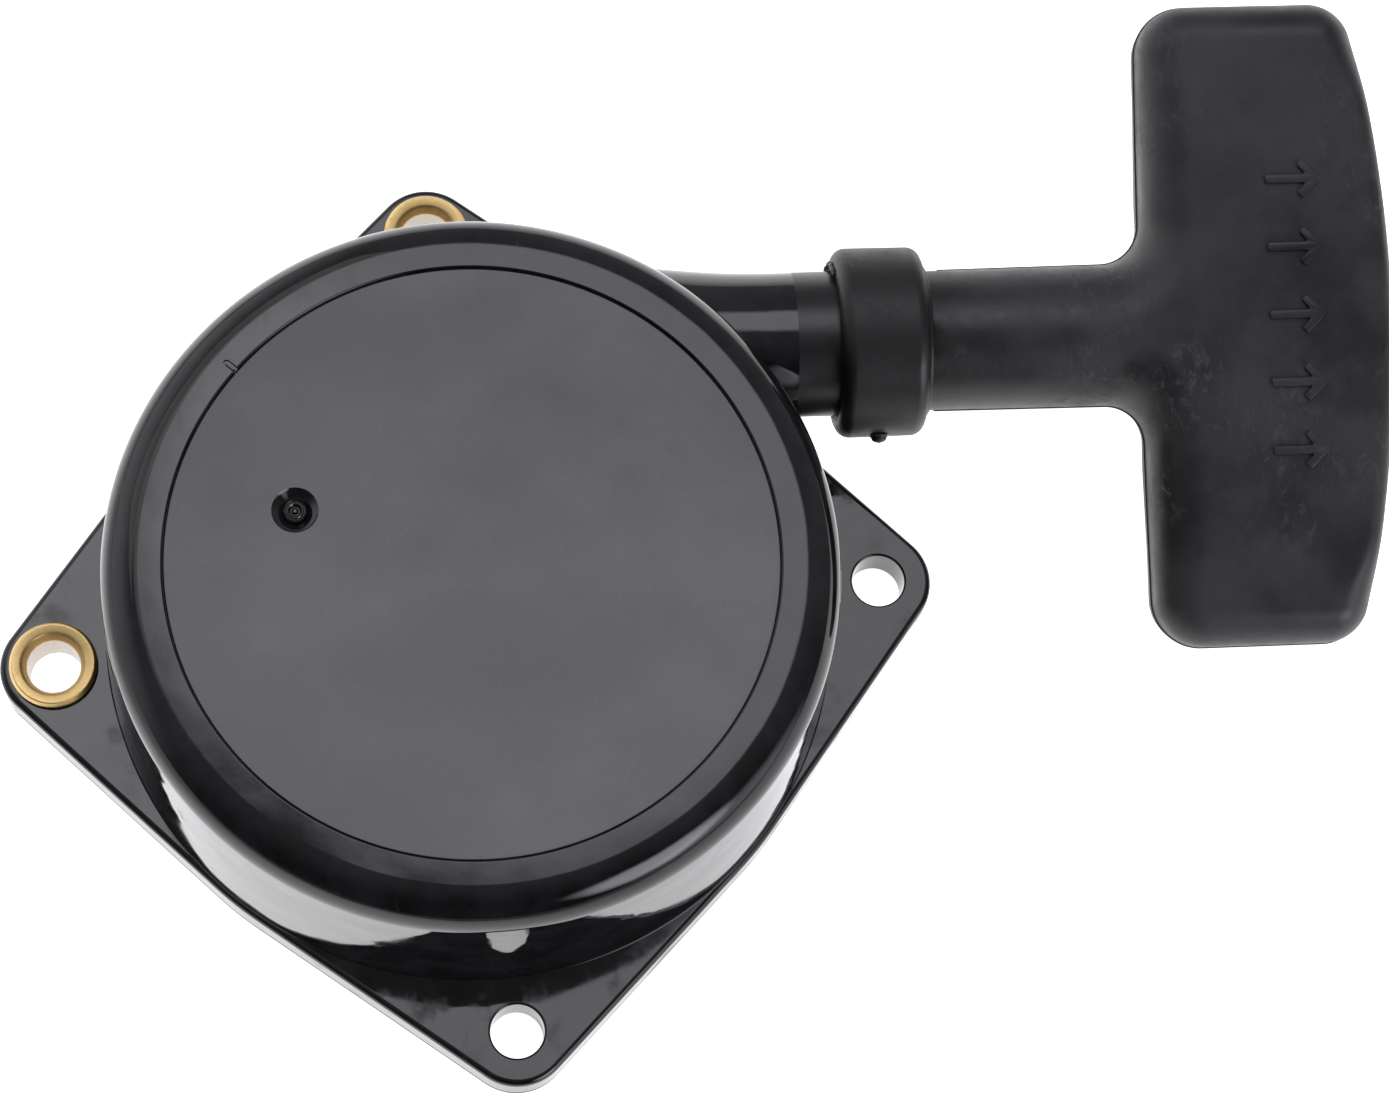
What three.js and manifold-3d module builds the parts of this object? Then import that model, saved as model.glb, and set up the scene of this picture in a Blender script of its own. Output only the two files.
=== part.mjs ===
// Recoil starter: a rope-pull engine starter with a drum housing, a square flange and a T-handle.
// Millimetres. The origin is on the reel axis, in the plane of the flange's back face.
// +Z points to the closed front of the drum, +X is the direction in which the rope is pulled.

import * as THREE from 'three';
import { mergeVertices } from 'three/addons/utils/BufferGeometryUtils.js';
import Module from 'manifold-3d';

const wasm = await Module();
wasm.setup();

// ---- Driving dimensions ----

const GAP = 0.3; // clearance kept between neighbouring solids

// Flange and bolt pattern
const HOLE_PITCH = 72; // side of the square bolt pattern
const HOLE_RADIUS = 3.25; // clearance hole for M6
const PATTERN_TURN = 4.1; // degrees from +X to the first hole
const FLANGE_THICKNESS = 6;
const FLANGE_RIM_RADIUS = 45; // circle that the flange's sides touch
const FLANGE_EAR_RADIUS = 6.6; // round end of each corner, about its hole

// Brass sleeves in two of the four holes; a quarter is the number of right angles from the first hole
const GROMMET_QUARTERS = { grommet_top: 1, grommet_left: 2 };
const GROMMET_SLEEVE_RADIUS = 4.2;
const GROMMET_LIP_RADIUS = 5.36;
const GROMMET_LIP_HEIGHT = 1.3;

// Drum
const DRUM_BASE_RADIUS = 44.4;
const DRUM_SHOULDER_RADIUS = 43.2;
const DRUM_HEIGHT = 34.3;
const SHOULDER_FILLET = 5;
const DISC_RADIUS = 36;
const DISC_DEPTH = 0.4;
const WALL = 2.8;
const CAVITY_RADIUS = 40.2;
const CAVITY_FILLET = 2.2;

// Rope outlet
const STEM_Y = 30.9; // height of the rope's line above the reel axis
const STEM_Z = 17.5; // middle of the rope groove
const TUBE_START_X = 18;
const TUBE_END_X = 50.4;
const TUBE_ROOT_RADIUS = 10.5;
const TUBE_END_RADIUS = 8.9;
const TUBE_TAPER_END_X = 33; // from here on the tube keeps its end radius
const TUBE_BORE_RADIUS = 6;
const GUIDE = { start: 37, bore: 2.9, mouth: 1.2, lipRadius: 7.4, lip: 1 }; // wear ferrule in its mouth

// Centre post and its fasteners
const POST_RADIUS = 6.6;
const POST_END_Z = 7.9;
const INSERT_RADIUS = 4.4;
const INSERT_LENGTH = 12;
const SCREW_RADIUS = 2.9; // M6 thread
const SCREW_FACE_Z = 0.5; // the head stands this far inside the flange's back face
const SCREW_ACROSS_FLATS = 10;
const SCREW_HEAD_HEIGHT = 3.7;
const SCREW_FLANGE_RADIUS = 6.5;
const SCREW_FLANGE_THICKNESS = 0.8;
const SCREW_END_Z = 21.5;

// Reel and rope
const ROPE_RADIUS = 1.75;
const REEL_RADIUS = 36.5;
const REEL_BACK_Z = 12.2;
const REEL_CHEEK = 1.6;
const GROOVE_WIDTH = 7.4;
const GROOVE_RADIUS = 22;
const REEL_BORE_RADIUS = 8.7;
const REEL_HUB_RADIUS = 10.6;
const REEL_HUB_END_Z = 29.4;
const KNOT_WELL = { inner: 12.5, outer: 20, floor: 15.5 }; // ring-shaped recess in the reel's front
const ANCHOR_ANGLE = 200; // degrees, where the rope goes through the reel's hub
const ANCHOR_Z = STEM_Z + 1.4;
const ANCHOR_KNOT_RADIUS = 3.2;

// Rewind spring
const CASE_RADIUS = 32;
const CASE_SHEET = 0.8;
const CASE_OPEN_Z = 24.4;
const SPRING_SHEET = 0.6;
const SPRING_TURNS = 7;
const SPRING_INNER_RADIUS = 11.6;
const SPRING_OUTER_RADIUS = 30.4;

// Pawls and guide plate
const PAWL_PIVOT_RADIUS = 17.5; // distance of each pivot from the reel axis
const PAWL_PIN_RADIUS = 1.8;
const PAWL_BOSS_RADIUS = 3.6;
const PAWL_TIP = new THREE.Vector2(-1.1, -16.4); // from pivot to tip, pawl folded in
const PAWL_TIP_RADIUS = 1.7;
const PAWL_PEG = new THREE.Vector2(-0.2, -7); // from pivot to the peg that runs in the plate's slot
const PAWL_PEG_RADIUS = 1.3;
const PAWL_SWING = 28; // degrees, folded in to fully out
const PLATE_TURN = 30; // degrees that the plate turns against the reel meanwhile
const PAWL_LOW_Z = 7.4;
const PAWL_HIGH_Z = REEL_BACK_Z - GAP;
const PAWL_PIN_END_Z = 14.6;
const PLATE_Z = 5.2;
const PLATE_THICKNESS = 1.6;
const PLATE_RADIUS = 25.2;
const PLATE_WAIST_RADIUS = 11;
const PLATE_WING = { from: -62, to: -6, blend: 14 }; // degrees
const FRICTION_WIRE_RADIUS = 0.5;
const FRICTION_COIL_RADIUS = 9.95;
const FRICTION_TURNS = 3;
const SPRING_SEAT = { radius: 11.4, depth: 1.4 }; // recess in the reel's back for the friction spring

// T-handle, in its own frame on the rope's line
const HANDLE_TWIST = 16.6; // degrees about the rope, at which the free grip lies at rest
const COLLAR_START_X = 45.7;
const COLLAR_END_X = 56.6;
const COLLAR_RADIUS = 11.7;
const COLLAR_FILLET = 1.9;
const SOCKET_END_X = 52;
const STEM_RADIUS = 8.64;
const STEM_END_RADIUS = 8.8;
const STEM_END_X = 79.8;
const STEM_FLARE = 4.6;
const BAR_HALF_LENGTH = 39.8;
const BAR_OFFSET = 0.6; // the bar's middle lies this far above the stem's axis
const BAR_INNER_X = 84.1; // face towards the housing
const BAR_OUTER_X = 114.9; // crown of the palm face
const BAR_INNER_BOW = 0.4; // how far the inner face draws back at the ends
const BAR_OUTER_BOW = 4.5; // how far the palm face draws back at the ends
const BAR_MIDDLE_DEPTH = 8.8; // half thickness
const BAR_END_DEPTH = 6.4;
const BAR_END_FILLET = 5.4;
const BAR_SQUARENESS = 0.78; // exponent of the section: 1 is an ellipse, less is squarer
const ROPE_BORE_RADIUS = 2.4;
const KNOT_SEAT_X = 101;
const KNOT_POCKET_RADIUS = 5.6;
const KNOT_RADIUS = 4.4;
const WASHER_THICKNESS = 1;
const PLUG_START_X = 111.4;

// Facets
const FINE = 48;
const MEDIUM = 28;
const COARSE = 16;
const ARC_STEPS = 3;

// ---- Looks ----

const glossyBlack = () => new THREE.MeshStandardMaterial({ color: 0x17181a, roughness: 0.22 });
const rubberBlack = () => new THREE.MeshStandardMaterial({ color: 0x1c1c1d, roughness: 0.6 });
const brass = () => new THREE.MeshStandardMaterial({ color: 0xc9a45c, roughness: 0.3, metalness: 1 });
const steel = () => new THREE.MeshStandardMaterial({ color: 0xa9abad, roughness: 0.35, metalness: 1 });
const springSteel = () => new THREE.MeshStandardMaterial({ color: 0x4b5560, roughness: 0.35, metalness: 1 });
const nylon = () => new THREE.MeshStandardMaterial({ color: 0x2a2c2e, roughness: 0.5 });
const cord = () => new THREE.MeshStandardMaterial({ color: 0xd8d6cc, roughness: 0.85 });

// ---- Geometry helpers ----

const radians = THREE.MathUtils.degToRad;

// A closed triangle mesh as a solid that can be cut and joined.
function solid(geometry) {
  geometry.deleteAttribute('normal');
  geometry.deleteAttribute('uv');
  const merged = mergeVertices(geometry, 1e-4);
  return new wasm.Manifold(
    new wasm.Mesh({
      numProp: 3,
      vertProperties: new Float32Array(merged.attributes.position.array),
      triVerts: new Uint32Array(merged.index.array),
    }),
  );
}

// A solid back as a triangle mesh.
function surface(body) {
  const mesh = body.getMesh();
  const geometry = new THREE.BufferGeometry();
  geometry.setAttribute('position', new THREE.BufferAttribute(mesh.vertProperties, 3));
  geometry.setIndex(new THREE.BufferAttribute(mesh.triVerts, 1));
  return geometry;
}

// Turns a profile of [radius, height] points about +Z. It runs clockwise as seen with the axis on
// the left, or starts and ends on the axis going up the outside.
function turned(profile, facets) {
  const points = profile.map(([radius, height]) => new THREE.Vector2(radius, height));
  return new THREE.LatheGeometry(points, facets).rotateX(Math.PI / 2);
}

// The same, about +X: heights become places along X.
function turnedAlongX(profile, facets) {
  return turned(profile, facets).rotateY(Math.PI / 2);
}

// A closed ring: a rectangle from inner to outer radius and low to high, turned about +Z.
function ring(inner, outer, low, high, facets) {
  const corners = [
    [inner, low],
    [outer, low],
    [outer, high],
    [inner, high],
    [inner, low],
  ];
  return turned(corners, facets);
}

// A plain rod along +Z.
function rod(radius, low, high, facets) {
  const profile = [
    [0, low],
    [radius, low],
    [radius, high],
    [0, high],
  ];
  return turned(profile, facets);
}

// A plain rod along +X, on the axis.
function rodAlongX(radius, low, high, facets) {
  return rod(radius, low, high, facets).rotateY(Math.PI / 2);
}

// Points of an arc for a profile, angles in degrees from the radius direction.
function arc(radius, height, size, from, to) {
  return Array.from({ length: ARC_STEPS + 1 }, (_, step) => {
    const angle = radians(from + ((to - from) * step) / ARC_STEPS);
    return [radius + size * Math.cos(angle), height + size * Math.sin(angle)];
  });
}

// A point at a radius and an angle in degrees.
function polar(radius, degrees) {
  return new THREE.Vector2(radius, 0).rotateAround(new THREE.Vector2(), radians(degrees));
}

function extruded(shape, low, high, curveSegments) {
  const options = { depth: high - low, bevelEnabled: false, curveSegments };
  return new THREE.ExtrudeGeometry(shape, options).translate(0, 0, low);
}

// ---- Housing ----

const quarterTurns = [0, 1, 2, 3];
const holeRadius = (HOLE_PITCH / 2) * Math.SQRT2;
const holeAngle = (quarter) => PATTERN_TURN + quarter * 90;

// Four ears round the holes, joined by straight sides that touch the rim circle.
function flangeOutline() {
  const outline = new THREE.Shape();
  const lean = Math.acos((FLANGE_RIM_RADIUS - FLANGE_EAR_RADIUS) / holeRadius);
  for (const quarter of quarterTurns) {
    const ear = polar(holeRadius, holeAngle(quarter));
    const heading = radians(holeAngle(quarter));
    outline.absarc(ear.x, ear.y, FLANGE_EAR_RADIUS, heading - lean, heading + lean);
    outline.absarc(0, 0, FLANGE_RIM_RADIUS, heading + lean, heading + Math.PI / 2 - lean);
  }
  return outline;
}

function drum() {
  const shoulderZ = DRUM_HEIGHT - SHOULDER_FILLET;
  const shoulder = arc(DRUM_SHOULDER_RADIUS - SHOULDER_FILLET, shoulderZ, SHOULDER_FILLET, 0, 90);
  const profile = [
    [0, FLANGE_THICKNESS / 2],
    [DRUM_BASE_RADIUS, FLANGE_THICKNESS / 2],
    [DRUM_BASE_RADIUS, FLANGE_THICKNESS],
    ...shoulder,
    [DISC_RADIUS, DRUM_HEIGHT],
    [DISC_RADIUS, DRUM_HEIGHT - DISC_DEPTH],
    [0, DRUM_HEIGHT - DISC_DEPTH],
  ];
  return solid(turned(profile, FINE));
}

const ceilingZ = DRUM_HEIGHT - DISC_DEPTH - WALL;

function cavity() {
  const corner = CAVITY_RADIUS - CAVITY_FILLET;
  const profile = [
    [0, -1],
    [CAVITY_RADIUS, -1],
    ...arc(corner, ceilingZ - CAVITY_FILLET, CAVITY_FILLET, 0, 90),
    [0, ceilingZ],
  ];
  return solid(turned(profile, FINE));
}

function outletTube() {
  const profile = [
    [0, TUBE_START_X],
    [TUBE_ROOT_RADIUS, TUBE_START_X],
    [TUBE_END_RADIUS, TUBE_TAPER_END_X],
    [TUBE_END_RADIUS, TUBE_END_X - 0.6],
    [TUBE_END_RADIUS - 0.6, TUBE_END_X],
    [0, TUBE_END_X],
  ];
  return solid(turnedAlongX(profile, MEDIUM).translate(0, STEM_Y, STEM_Z));
}

function outletBore() {
  const start = TUBE_START_X + 4;
  return solid(rodAlongX(TUBE_BORE_RADIUS, start, TUBE_END_X + 1, COARSE).translate(0, STEM_Y, STEM_Z));
}

// The post hangs from the ceiling of the drum and is bored for the threaded insert.
function post() {
  const insertEnd = POST_END_Z + INSERT_LENGTH + GAP;
  const bore = solid(rod(INSERT_RADIUS + GAP, POST_END_Z - 1, insertEnd, COARSE)).add(
    solid(rod(SCREW_RADIUS + GAP, insertEnd - 1, SCREW_END_Z + 1, COARSE)),
  );
  return solid(rod(POST_RADIUS, POST_END_Z, ceilingZ + 1, MEDIUM)).subtract(bore);
}

// Four ribs under the ceiling centre the spring case.
function caseRib(quarter) {
  const width = 5;
  const thickness = 1.8;
  const height = 4;
  const middle = CASE_RADIUS + GAP + thickness / 2;
  const box = new THREE.BoxGeometry(thickness, width, height + 1);
  const angle = radians(quarter * 90 + 45);
  return solid(box.translate(middle, 0, ceilingZ - height / 2 + 0.5).rotateZ(angle));
}

function housing() {
  const flange = solid(extruded(flangeOutline(), 0, FLANGE_THICKNESS, 5));
  let body = flange.add(drum()).add(outletTube()).subtract(cavity()).subtract(outletBore());
  body = body.add(post());
  const sleeved = Object.values(GROMMET_QUARTERS);
  for (const quarter of quarterTurns) {
    const radius = sleeved.includes(quarter) ? GROMMET_SLEEVE_RADIUS + GAP : HOLE_RADIUS;
    const place = polar(holeRadius, holeAngle(quarter));
    const hole = rod(radius, -1, FLANGE_THICKNESS + 1, COARSE).translate(place.x, place.y, 0);
    body = body.subtract(solid(hole)).add(caseRib(quarter));
  }
  return surface(body);
}

// ---- Small fixed pieces ----

function grommet() {
  const seat = FLANGE_THICKNESS + 0.15;
  const round = GROMMET_LIP_HEIGHT / 2;
  const profile = [
    [HOLE_RADIUS, 0.2],
    [GROMMET_SLEEVE_RADIUS, 0.2],
    [GROMMET_SLEEVE_RADIUS, seat],
    [GROMMET_LIP_RADIUS - 0.2, seat],
    ...arc(GROMMET_LIP_RADIUS - round, seat + round, round, -30, 90),
    ...arc(HOLE_RADIUS + round, seat + round, round, 90, 180),
    [HOLE_RADIUS, 0.2],
  ];
  return turned(profile, COARSE);
}

function ropeGuide() {
  const sleeve = TUBE_BORE_RADIUS - GAP;
  const seat = TUBE_END_X + 0.2;
  const front = seat + GUIDE.lip;
  const rim = GUIDE.bore + GUIDE.mouth;
  const profile = [
    [rim, GUIDE.start],
    [sleeve, GUIDE.start],
    [sleeve, seat],
    [GUIDE.lipRadius, seat],
    [GUIDE.lipRadius, front],
    ...arc(rim, front - GUIDE.mouth, GUIDE.mouth, 90, 180),
    ...arc(rim, GUIDE.start + GUIDE.mouth, GUIDE.mouth, 180, 270),
  ];
  return turnedAlongX(profile, COARSE).translate(0, STEM_Y, STEM_Z);
}

function postInsert() {
  return ring(SCREW_RADIUS + GAP, INSERT_RADIUS, POST_END_Z + 0.1, POST_END_Z + INSERT_LENGTH, COARSE);
}

function centreScrew() {
  const headEnd = SCREW_FACE_Z + SCREW_HEAD_HEIGHT;
  const flangeEnd = headEnd + SCREW_FLANGE_THICKNESS;
  const corner = SCREW_ACROSS_FLATS / Math.sqrt(3);
  const hexagon = new THREE.Shape(quarterTurns.concat([4, 5]).map((side) => polar(corner, side * 60)));
  const head = solid(extruded(hexagon, SCREW_FACE_Z, headEnd, 1));
  const profile = [
    [0, headEnd - 0.5],
    [SCREW_FLANGE_RADIUS, headEnd],
    [SCREW_FLANGE_RADIUS, flangeEnd],
    [SCREW_RADIUS, flangeEnd],
    [SCREW_RADIUS, SCREW_END_Z - 0.8],
    [SCREW_RADIUS - 0.8, SCREW_END_Z],
    [0, SCREW_END_Z],
  ];
  return surface(head.add(solid(turned(profile, COARSE))));
}

function thrustWasher() {
  return ring(SCREW_RADIUS + GAP, 7.2, PLATE_Z + PLATE_THICKNESS + 0.2, POST_END_Z - 0.2, COARSE);
}

function reelBush() {
  return ring(POST_RADIUS + GAP, REEL_BORE_RADIUS - GAP, REEL_BACK_Z + 0.2, REEL_HUB_END_Z - 0.4, MEDIUM);
}

// ---- Rewind spring ----

const caseTopZ = ceilingZ - GAP;

function springCase() {
  const sheetZ = caseTopZ - CASE_SHEET;
  const profile = [
    [POST_RADIUS + 0.6, sheetZ],
    [CASE_RADIUS - CASE_SHEET, sheetZ],
    [CASE_RADIUS - CASE_SHEET, CASE_OPEN_Z],
    [CASE_RADIUS, CASE_OPEN_Z],
    [CASE_RADIUS, caseTopZ],
    [POST_RADIUS + 0.6, caseTopZ],
    [POST_RADIUS + 0.6, sheetZ],
  ];
  return turned(profile, FINE);
}

function springCover() {
  const outer = CASE_RADIUS - CASE_SHEET - GAP;
  return ring(REEL_HUB_RADIUS + 0.6, outer, CASE_OPEN_Z, CASE_OPEN_Z + 0.6, MEDIUM);
}

// A flat spiral strip from the reel's hub out to the case.
function powerSpring() {
  const stepsPerTurn = 18;
  const steps = SPRING_TURNS * stepsPerTurn;
  const edge = (step, offset) => {
    const radius = THREE.MathUtils.mapLinear(step, 0, steps, SPRING_INNER_RADIUS, SPRING_OUTER_RADIUS);
    return polar(radius + offset, (step * 360) / stepsPerTurn);
  };
  const count = Array.from({ length: steps + 1 }, (_, step) => step);
  const outside = count.map((step) => edge(step, SPRING_SHEET / 2));
  const inside = count.map((step) => edge(step, -SPRING_SHEET / 2)).reverse();
  const low = CASE_OPEN_Z + 0.6 + GAP;
  const high = caseTopZ - CASE_SHEET - GAP;
  return extruded(new THREE.Shape(outside.concat(inside)), low, high, 1);
}

// ---- Reel and rope ----

const grooveLow = STEM_Z - GROOVE_WIDTH / 2;
const grooveHigh = STEM_Z + GROOVE_WIDTH / 2;
const reelFrontZ = grooveHigh + REEL_CHEEK;

function reel() {
  const profile = [
    [REEL_BORE_RADIUS, REEL_BACK_Z + SPRING_SEAT.depth],
    [SPRING_SEAT.radius, REEL_BACK_Z + SPRING_SEAT.depth],
    [SPRING_SEAT.radius, REEL_BACK_Z],
    [REEL_RADIUS, REEL_BACK_Z],
    [REEL_RADIUS, grooveLow - 0.4],
    [GROOVE_RADIUS, grooveLow],
    [GROOVE_RADIUS, grooveHigh],
    [REEL_RADIUS, grooveHigh + 0.4],
    [REEL_RADIUS, reelFrontZ],
    [KNOT_WELL.outer, reelFrontZ],
    [KNOT_WELL.outer, KNOT_WELL.floor],
    [KNOT_WELL.inner, KNOT_WELL.floor],
    [KNOT_WELL.inner, reelFrontZ],
    [REEL_HUB_RADIUS, reelFrontZ],
    [REEL_HUB_RADIUS, REEL_HUB_END_Z],
    [REEL_BORE_RADIUS, REEL_HUB_END_Z],
    [REEL_BORE_RADIUS, REEL_BACK_Z + SPRING_SEAT.depth],
  ];
  let body = solid(turned(profile, FINE));
  const ropeHole = rodAlongX(ROPE_RADIUS + 0.4, KNOT_WELL.outer - 1, GROOVE_RADIUS + 1, COARSE);
  body = body.subtract(solid(ropeHole.translate(0, 0, ANCHOR_Z).rotateZ(radians(ANCHOR_ANGLE))));
  for (const side of [1, -1]) {
    const pinHole = rod(PAWL_PIN_RADIUS + GAP, REEL_BACK_Z - 1, PAWL_PIN_END_Z + GAP, COARSE);
    body = body.subtract(solid(pinHole.translate(side * PAWL_PIVOT_RADIUS, 0, 0)));
  }
  return surface(body);
}

// The wound rope: the outer shape of its turns in the groove.
function ropeCoil() {
  const inner = GROOVE_RADIUS + GAP;
  const outer = STEM_Y + ROPE_RADIUS;
  const low = grooveLow + GAP;
  const high = grooveHigh - GAP;
  const profile = [
    [inner, low],
    [outer - ROPE_RADIUS, low],
    [outer, low + ROPE_RADIUS],
    [outer, high - ROPE_RADIUS],
    [outer - ROPE_RADIUS, high],
    [inner, high],
    [inner, low],
  ];
  return turned(profile, MEDIUM);
}

// A knot as a rounded lump with the rope's short tail going into it, along X.
function knot(size, start, facets) {
  const squash = 0.9;
  const steps = 8;
  const profile = Array.from({ length: steps + 1 }, (_, step) => {
    const angle = (Math.PI * step) / steps;
    const radius = step === 0 || step === steps ? 0 : size * Math.sin(angle);
    return [radius, start + size * squash * (1 - Math.cos(angle))];
  });
  return turnedAlongX(profile, facets);
}

// The knot in the reel's well, with the short piece of rope through the hub wall.
function ropeAnchorKnot() {
  const lump = solid(knot(ANCHOR_KNOT_RADIUS, KNOT_WELL.inner + 2 * GAP, 14));
  const tail = solid(rodAlongX(ROPE_RADIUS, KNOT_WELL.outer - 3, GROOVE_RADIUS, 10));
  const body = lump.add(tail);
  return surface(body).translate(0, 0, ANCHOR_Z).rotateZ(radians(ANCHOR_ANGLE));
}

// The straight rope from the coil to the knot in the handle.
function ropeRun() {
  const outer = STEM_Y + ROPE_RADIUS;
  const lower = STEM_Y - ROPE_RADIUS;
  const start = Math.sqrt(outer * outer - lower * lower) + 2 * GAP;
  const end = KNOT_SEAT_X + WASHER_THICKNESS + GAP;
  const section = new THREE.Shape().absarc(0, 0, ROPE_RADIUS, 0, 2 * Math.PI);
  const extrudePath = new THREE.LineCurve3(
    new THREE.Vector3(start, STEM_Y, STEM_Z),
    new THREE.Vector3(end, STEM_Y, STEM_Z),
  );
  return new THREE.ExtrudeGeometry(section, { steps: 12, curveSegments: 4, extrudePath });
}

// ---- Pawls, guide plate and friction spring ----

// Outline round two circles, like a belt round two pulleys.
function belt(from, fromRadius, to, toRadius) {
  const along = new THREE.Vector2().subVectors(to, from);
  const lean = Math.acos((fromRadius - toRadius) / along.length());
  const heading = along.angle();
  const outline = new THREE.Shape();
  outline.absarc(to.x, to.y, toRadius, heading - lean, heading + lean);
  outline.absarc(from.x, from.y, fromRadius, heading + lean, heading - lean + 2 * Math.PI);
  return outline;
}

// One pawl in its own frame: the pivot is at the origin.
function pawl() {
  const pivot = new THREE.Vector2();
  const outline = belt(pivot, PAWL_BOSS_RADIUS, PAWL_TIP, PAWL_TIP_RADIUS);
  const arm = solid(extruded(outline, PAWL_LOW_Z, PAWL_HIGH_Z, 8));
  const bore = solid(rod(PAWL_PIN_RADIUS + GAP, PAWL_LOW_Z - 1, PAWL_HIGH_Z + 1, COARSE));
  const peg = rod(PAWL_PEG_RADIUS, PLATE_Z - 0.3, PAWL_LOW_Z + 0.5, 14).translate(PAWL_PEG.x, PAWL_PEG.y, 0);
  return surface(arm.subtract(bore).add(solid(peg)));
}

function pawlPin() {
  return rod(PAWL_PIN_RADIUS, PAWL_LOW_Z - 0.1, PAWL_PIN_END_Z, COARSE);
}

// Where a pawl's peg is, seen from the turning plate, when the pawl has swung by a share of its range.
function pegOnPlate(share) {
  const pivot = new THREE.Vector2(PAWL_PIVOT_RADIUS, 0);
  const centre = new THREE.Vector2();
  const peg = PAWL_PEG.clone().rotateAround(centre, radians(PAWL_SWING * share)).add(pivot);
  return peg.rotateAround(centre, radians(-PLATE_TURN * share));
}

// The cam slot: a band of the peg's width along its path, with round ends.
function pegSlot(turn) {
  const steps = 8;
  const reach = PAWL_PEG_RADIUS + 0.35;
  const overrun = 0.04;
  const centre = new THREE.Vector2();
  const at = (step) => pegOnPlate(-overrun + ((1 + 2 * overrun) * step) / steps).rotateAround(centre, turn);
  const heading = (step) => new THREE.Vector2().subVectors(at(step + 0.5), at(step - 0.5)).angle();
  const side = (step, angle) => at(step).add(new THREE.Vector2(reach, 0).rotateAround(centre, angle));
  const slot = new THREE.Path();
  const points = [];
  for (let step = 0; step <= steps; step++) {
    points.push(side(step, heading(step) - Math.PI / 2));
  }
  for (let cap = 1; cap < 6; cap++) {
    points.push(side(steps, heading(steps) - Math.PI / 2 + (Math.PI * cap) / 6));
  }
  for (let step = steps; step >= 0; step--) {
    points.push(side(step, heading(step) + Math.PI / 2));
  }
  for (let cap = 1; cap < 6; cap++) {
    points.push(side(0, heading(0) + Math.PI / 2 + (Math.PI * cap) / 6));
  }
  return slot.setFromPoints(points);
}

// Two wings with cam slots on a round centre.
function guidePlate() {
  const wingStart = radians(PLATE_WING.from);
  const wingEnd = radians(PLATE_WING.to);
  const blend = radians(PLATE_WING.blend);
  const outline = new THREE.Shape();
  for (const turn of [0, Math.PI]) {
    outline.absarc(0, 0, PLATE_RADIUS, turn + wingStart, turn + wingEnd);
    outline.absarc(0, 0, PLATE_WAIST_RADIUS, turn + wingEnd + blend, turn + Math.PI + wingStart - blend);
  }
  outline.holes.push(new THREE.Path().absarc(0, 0, SCREW_RADIUS + GAP, 0, 2 * Math.PI));
  outline.holes.push(pegSlot(0), pegSlot(Math.PI));
  return extruded(outline, PLATE_Z, PLATE_Z + PLATE_THICKNESS, 8);
}

// A helix for the wire of a compression spring.
class Helix extends THREE.Curve {
  constructor(radius, low, high, turns) {
    super();
    Object.assign(this, { radius, low, high, turns });
  }

  getPoint(share, target = new THREE.Vector3()) {
    const angle = share * this.turns * 2 * Math.PI;
    const height = THREE.MathUtils.lerp(this.low, this.high, share);
    return target.set(this.radius * Math.cos(angle), this.radius * Math.sin(angle), height);
  }
}

function frictionSpring() {
  const stepsPerTurn = 12;
  const stand = FRICTION_WIRE_RADIUS + 0.2;
  const low = PLATE_Z + PLATE_THICKNESS + stand;
  const high = REEL_BACK_Z + SPRING_SEAT.depth - stand;
  const extrudePath = new Helix(FRICTION_COIL_RADIUS, low, high, FRICTION_TURNS);
  const section = new THREE.Shape().absarc(0, 0, FRICTION_WIRE_RADIUS, 0, 2 * Math.PI);
  const options = { steps: FRICTION_TURNS * stepsPerTurn, curveSegments: 3, extrudePath };
  return new THREE.ExtrudeGeometry(section, options);
}

// ---- Handle ----

// Collar, stem and flare, turned about the rope's line.
function handleStem() {
  const collarStart = COLLAR_START_X + COLLAR_FILLET;
  const collarEnd = COLLAR_END_X - COLLAR_FILLET;
  const rim = COLLAR_RADIUS - COLLAR_FILLET;
  const flareX = STEM_END_X;
  const profile = [
    [0, COLLAR_START_X],
    ...arc(rim, collarStart, COLLAR_FILLET, -90, 0),
    ...arc(rim, collarEnd, COLLAR_FILLET, 0, 90),
    [STEM_RADIUS, COLLAR_END_X],
    [STEM_END_RADIUS, flareX],
    ...arc(STEM_END_RADIUS + STEM_FLARE, flareX, STEM_FLARE, 180, 90),
    [STEM_END_RADIUS, flareX + STEM_FLARE + 8],
    [0, flareX + STEM_FLARE + 8],
  ];
  return solid(turnedAlongX(profile, MEDIUM));
}

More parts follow.
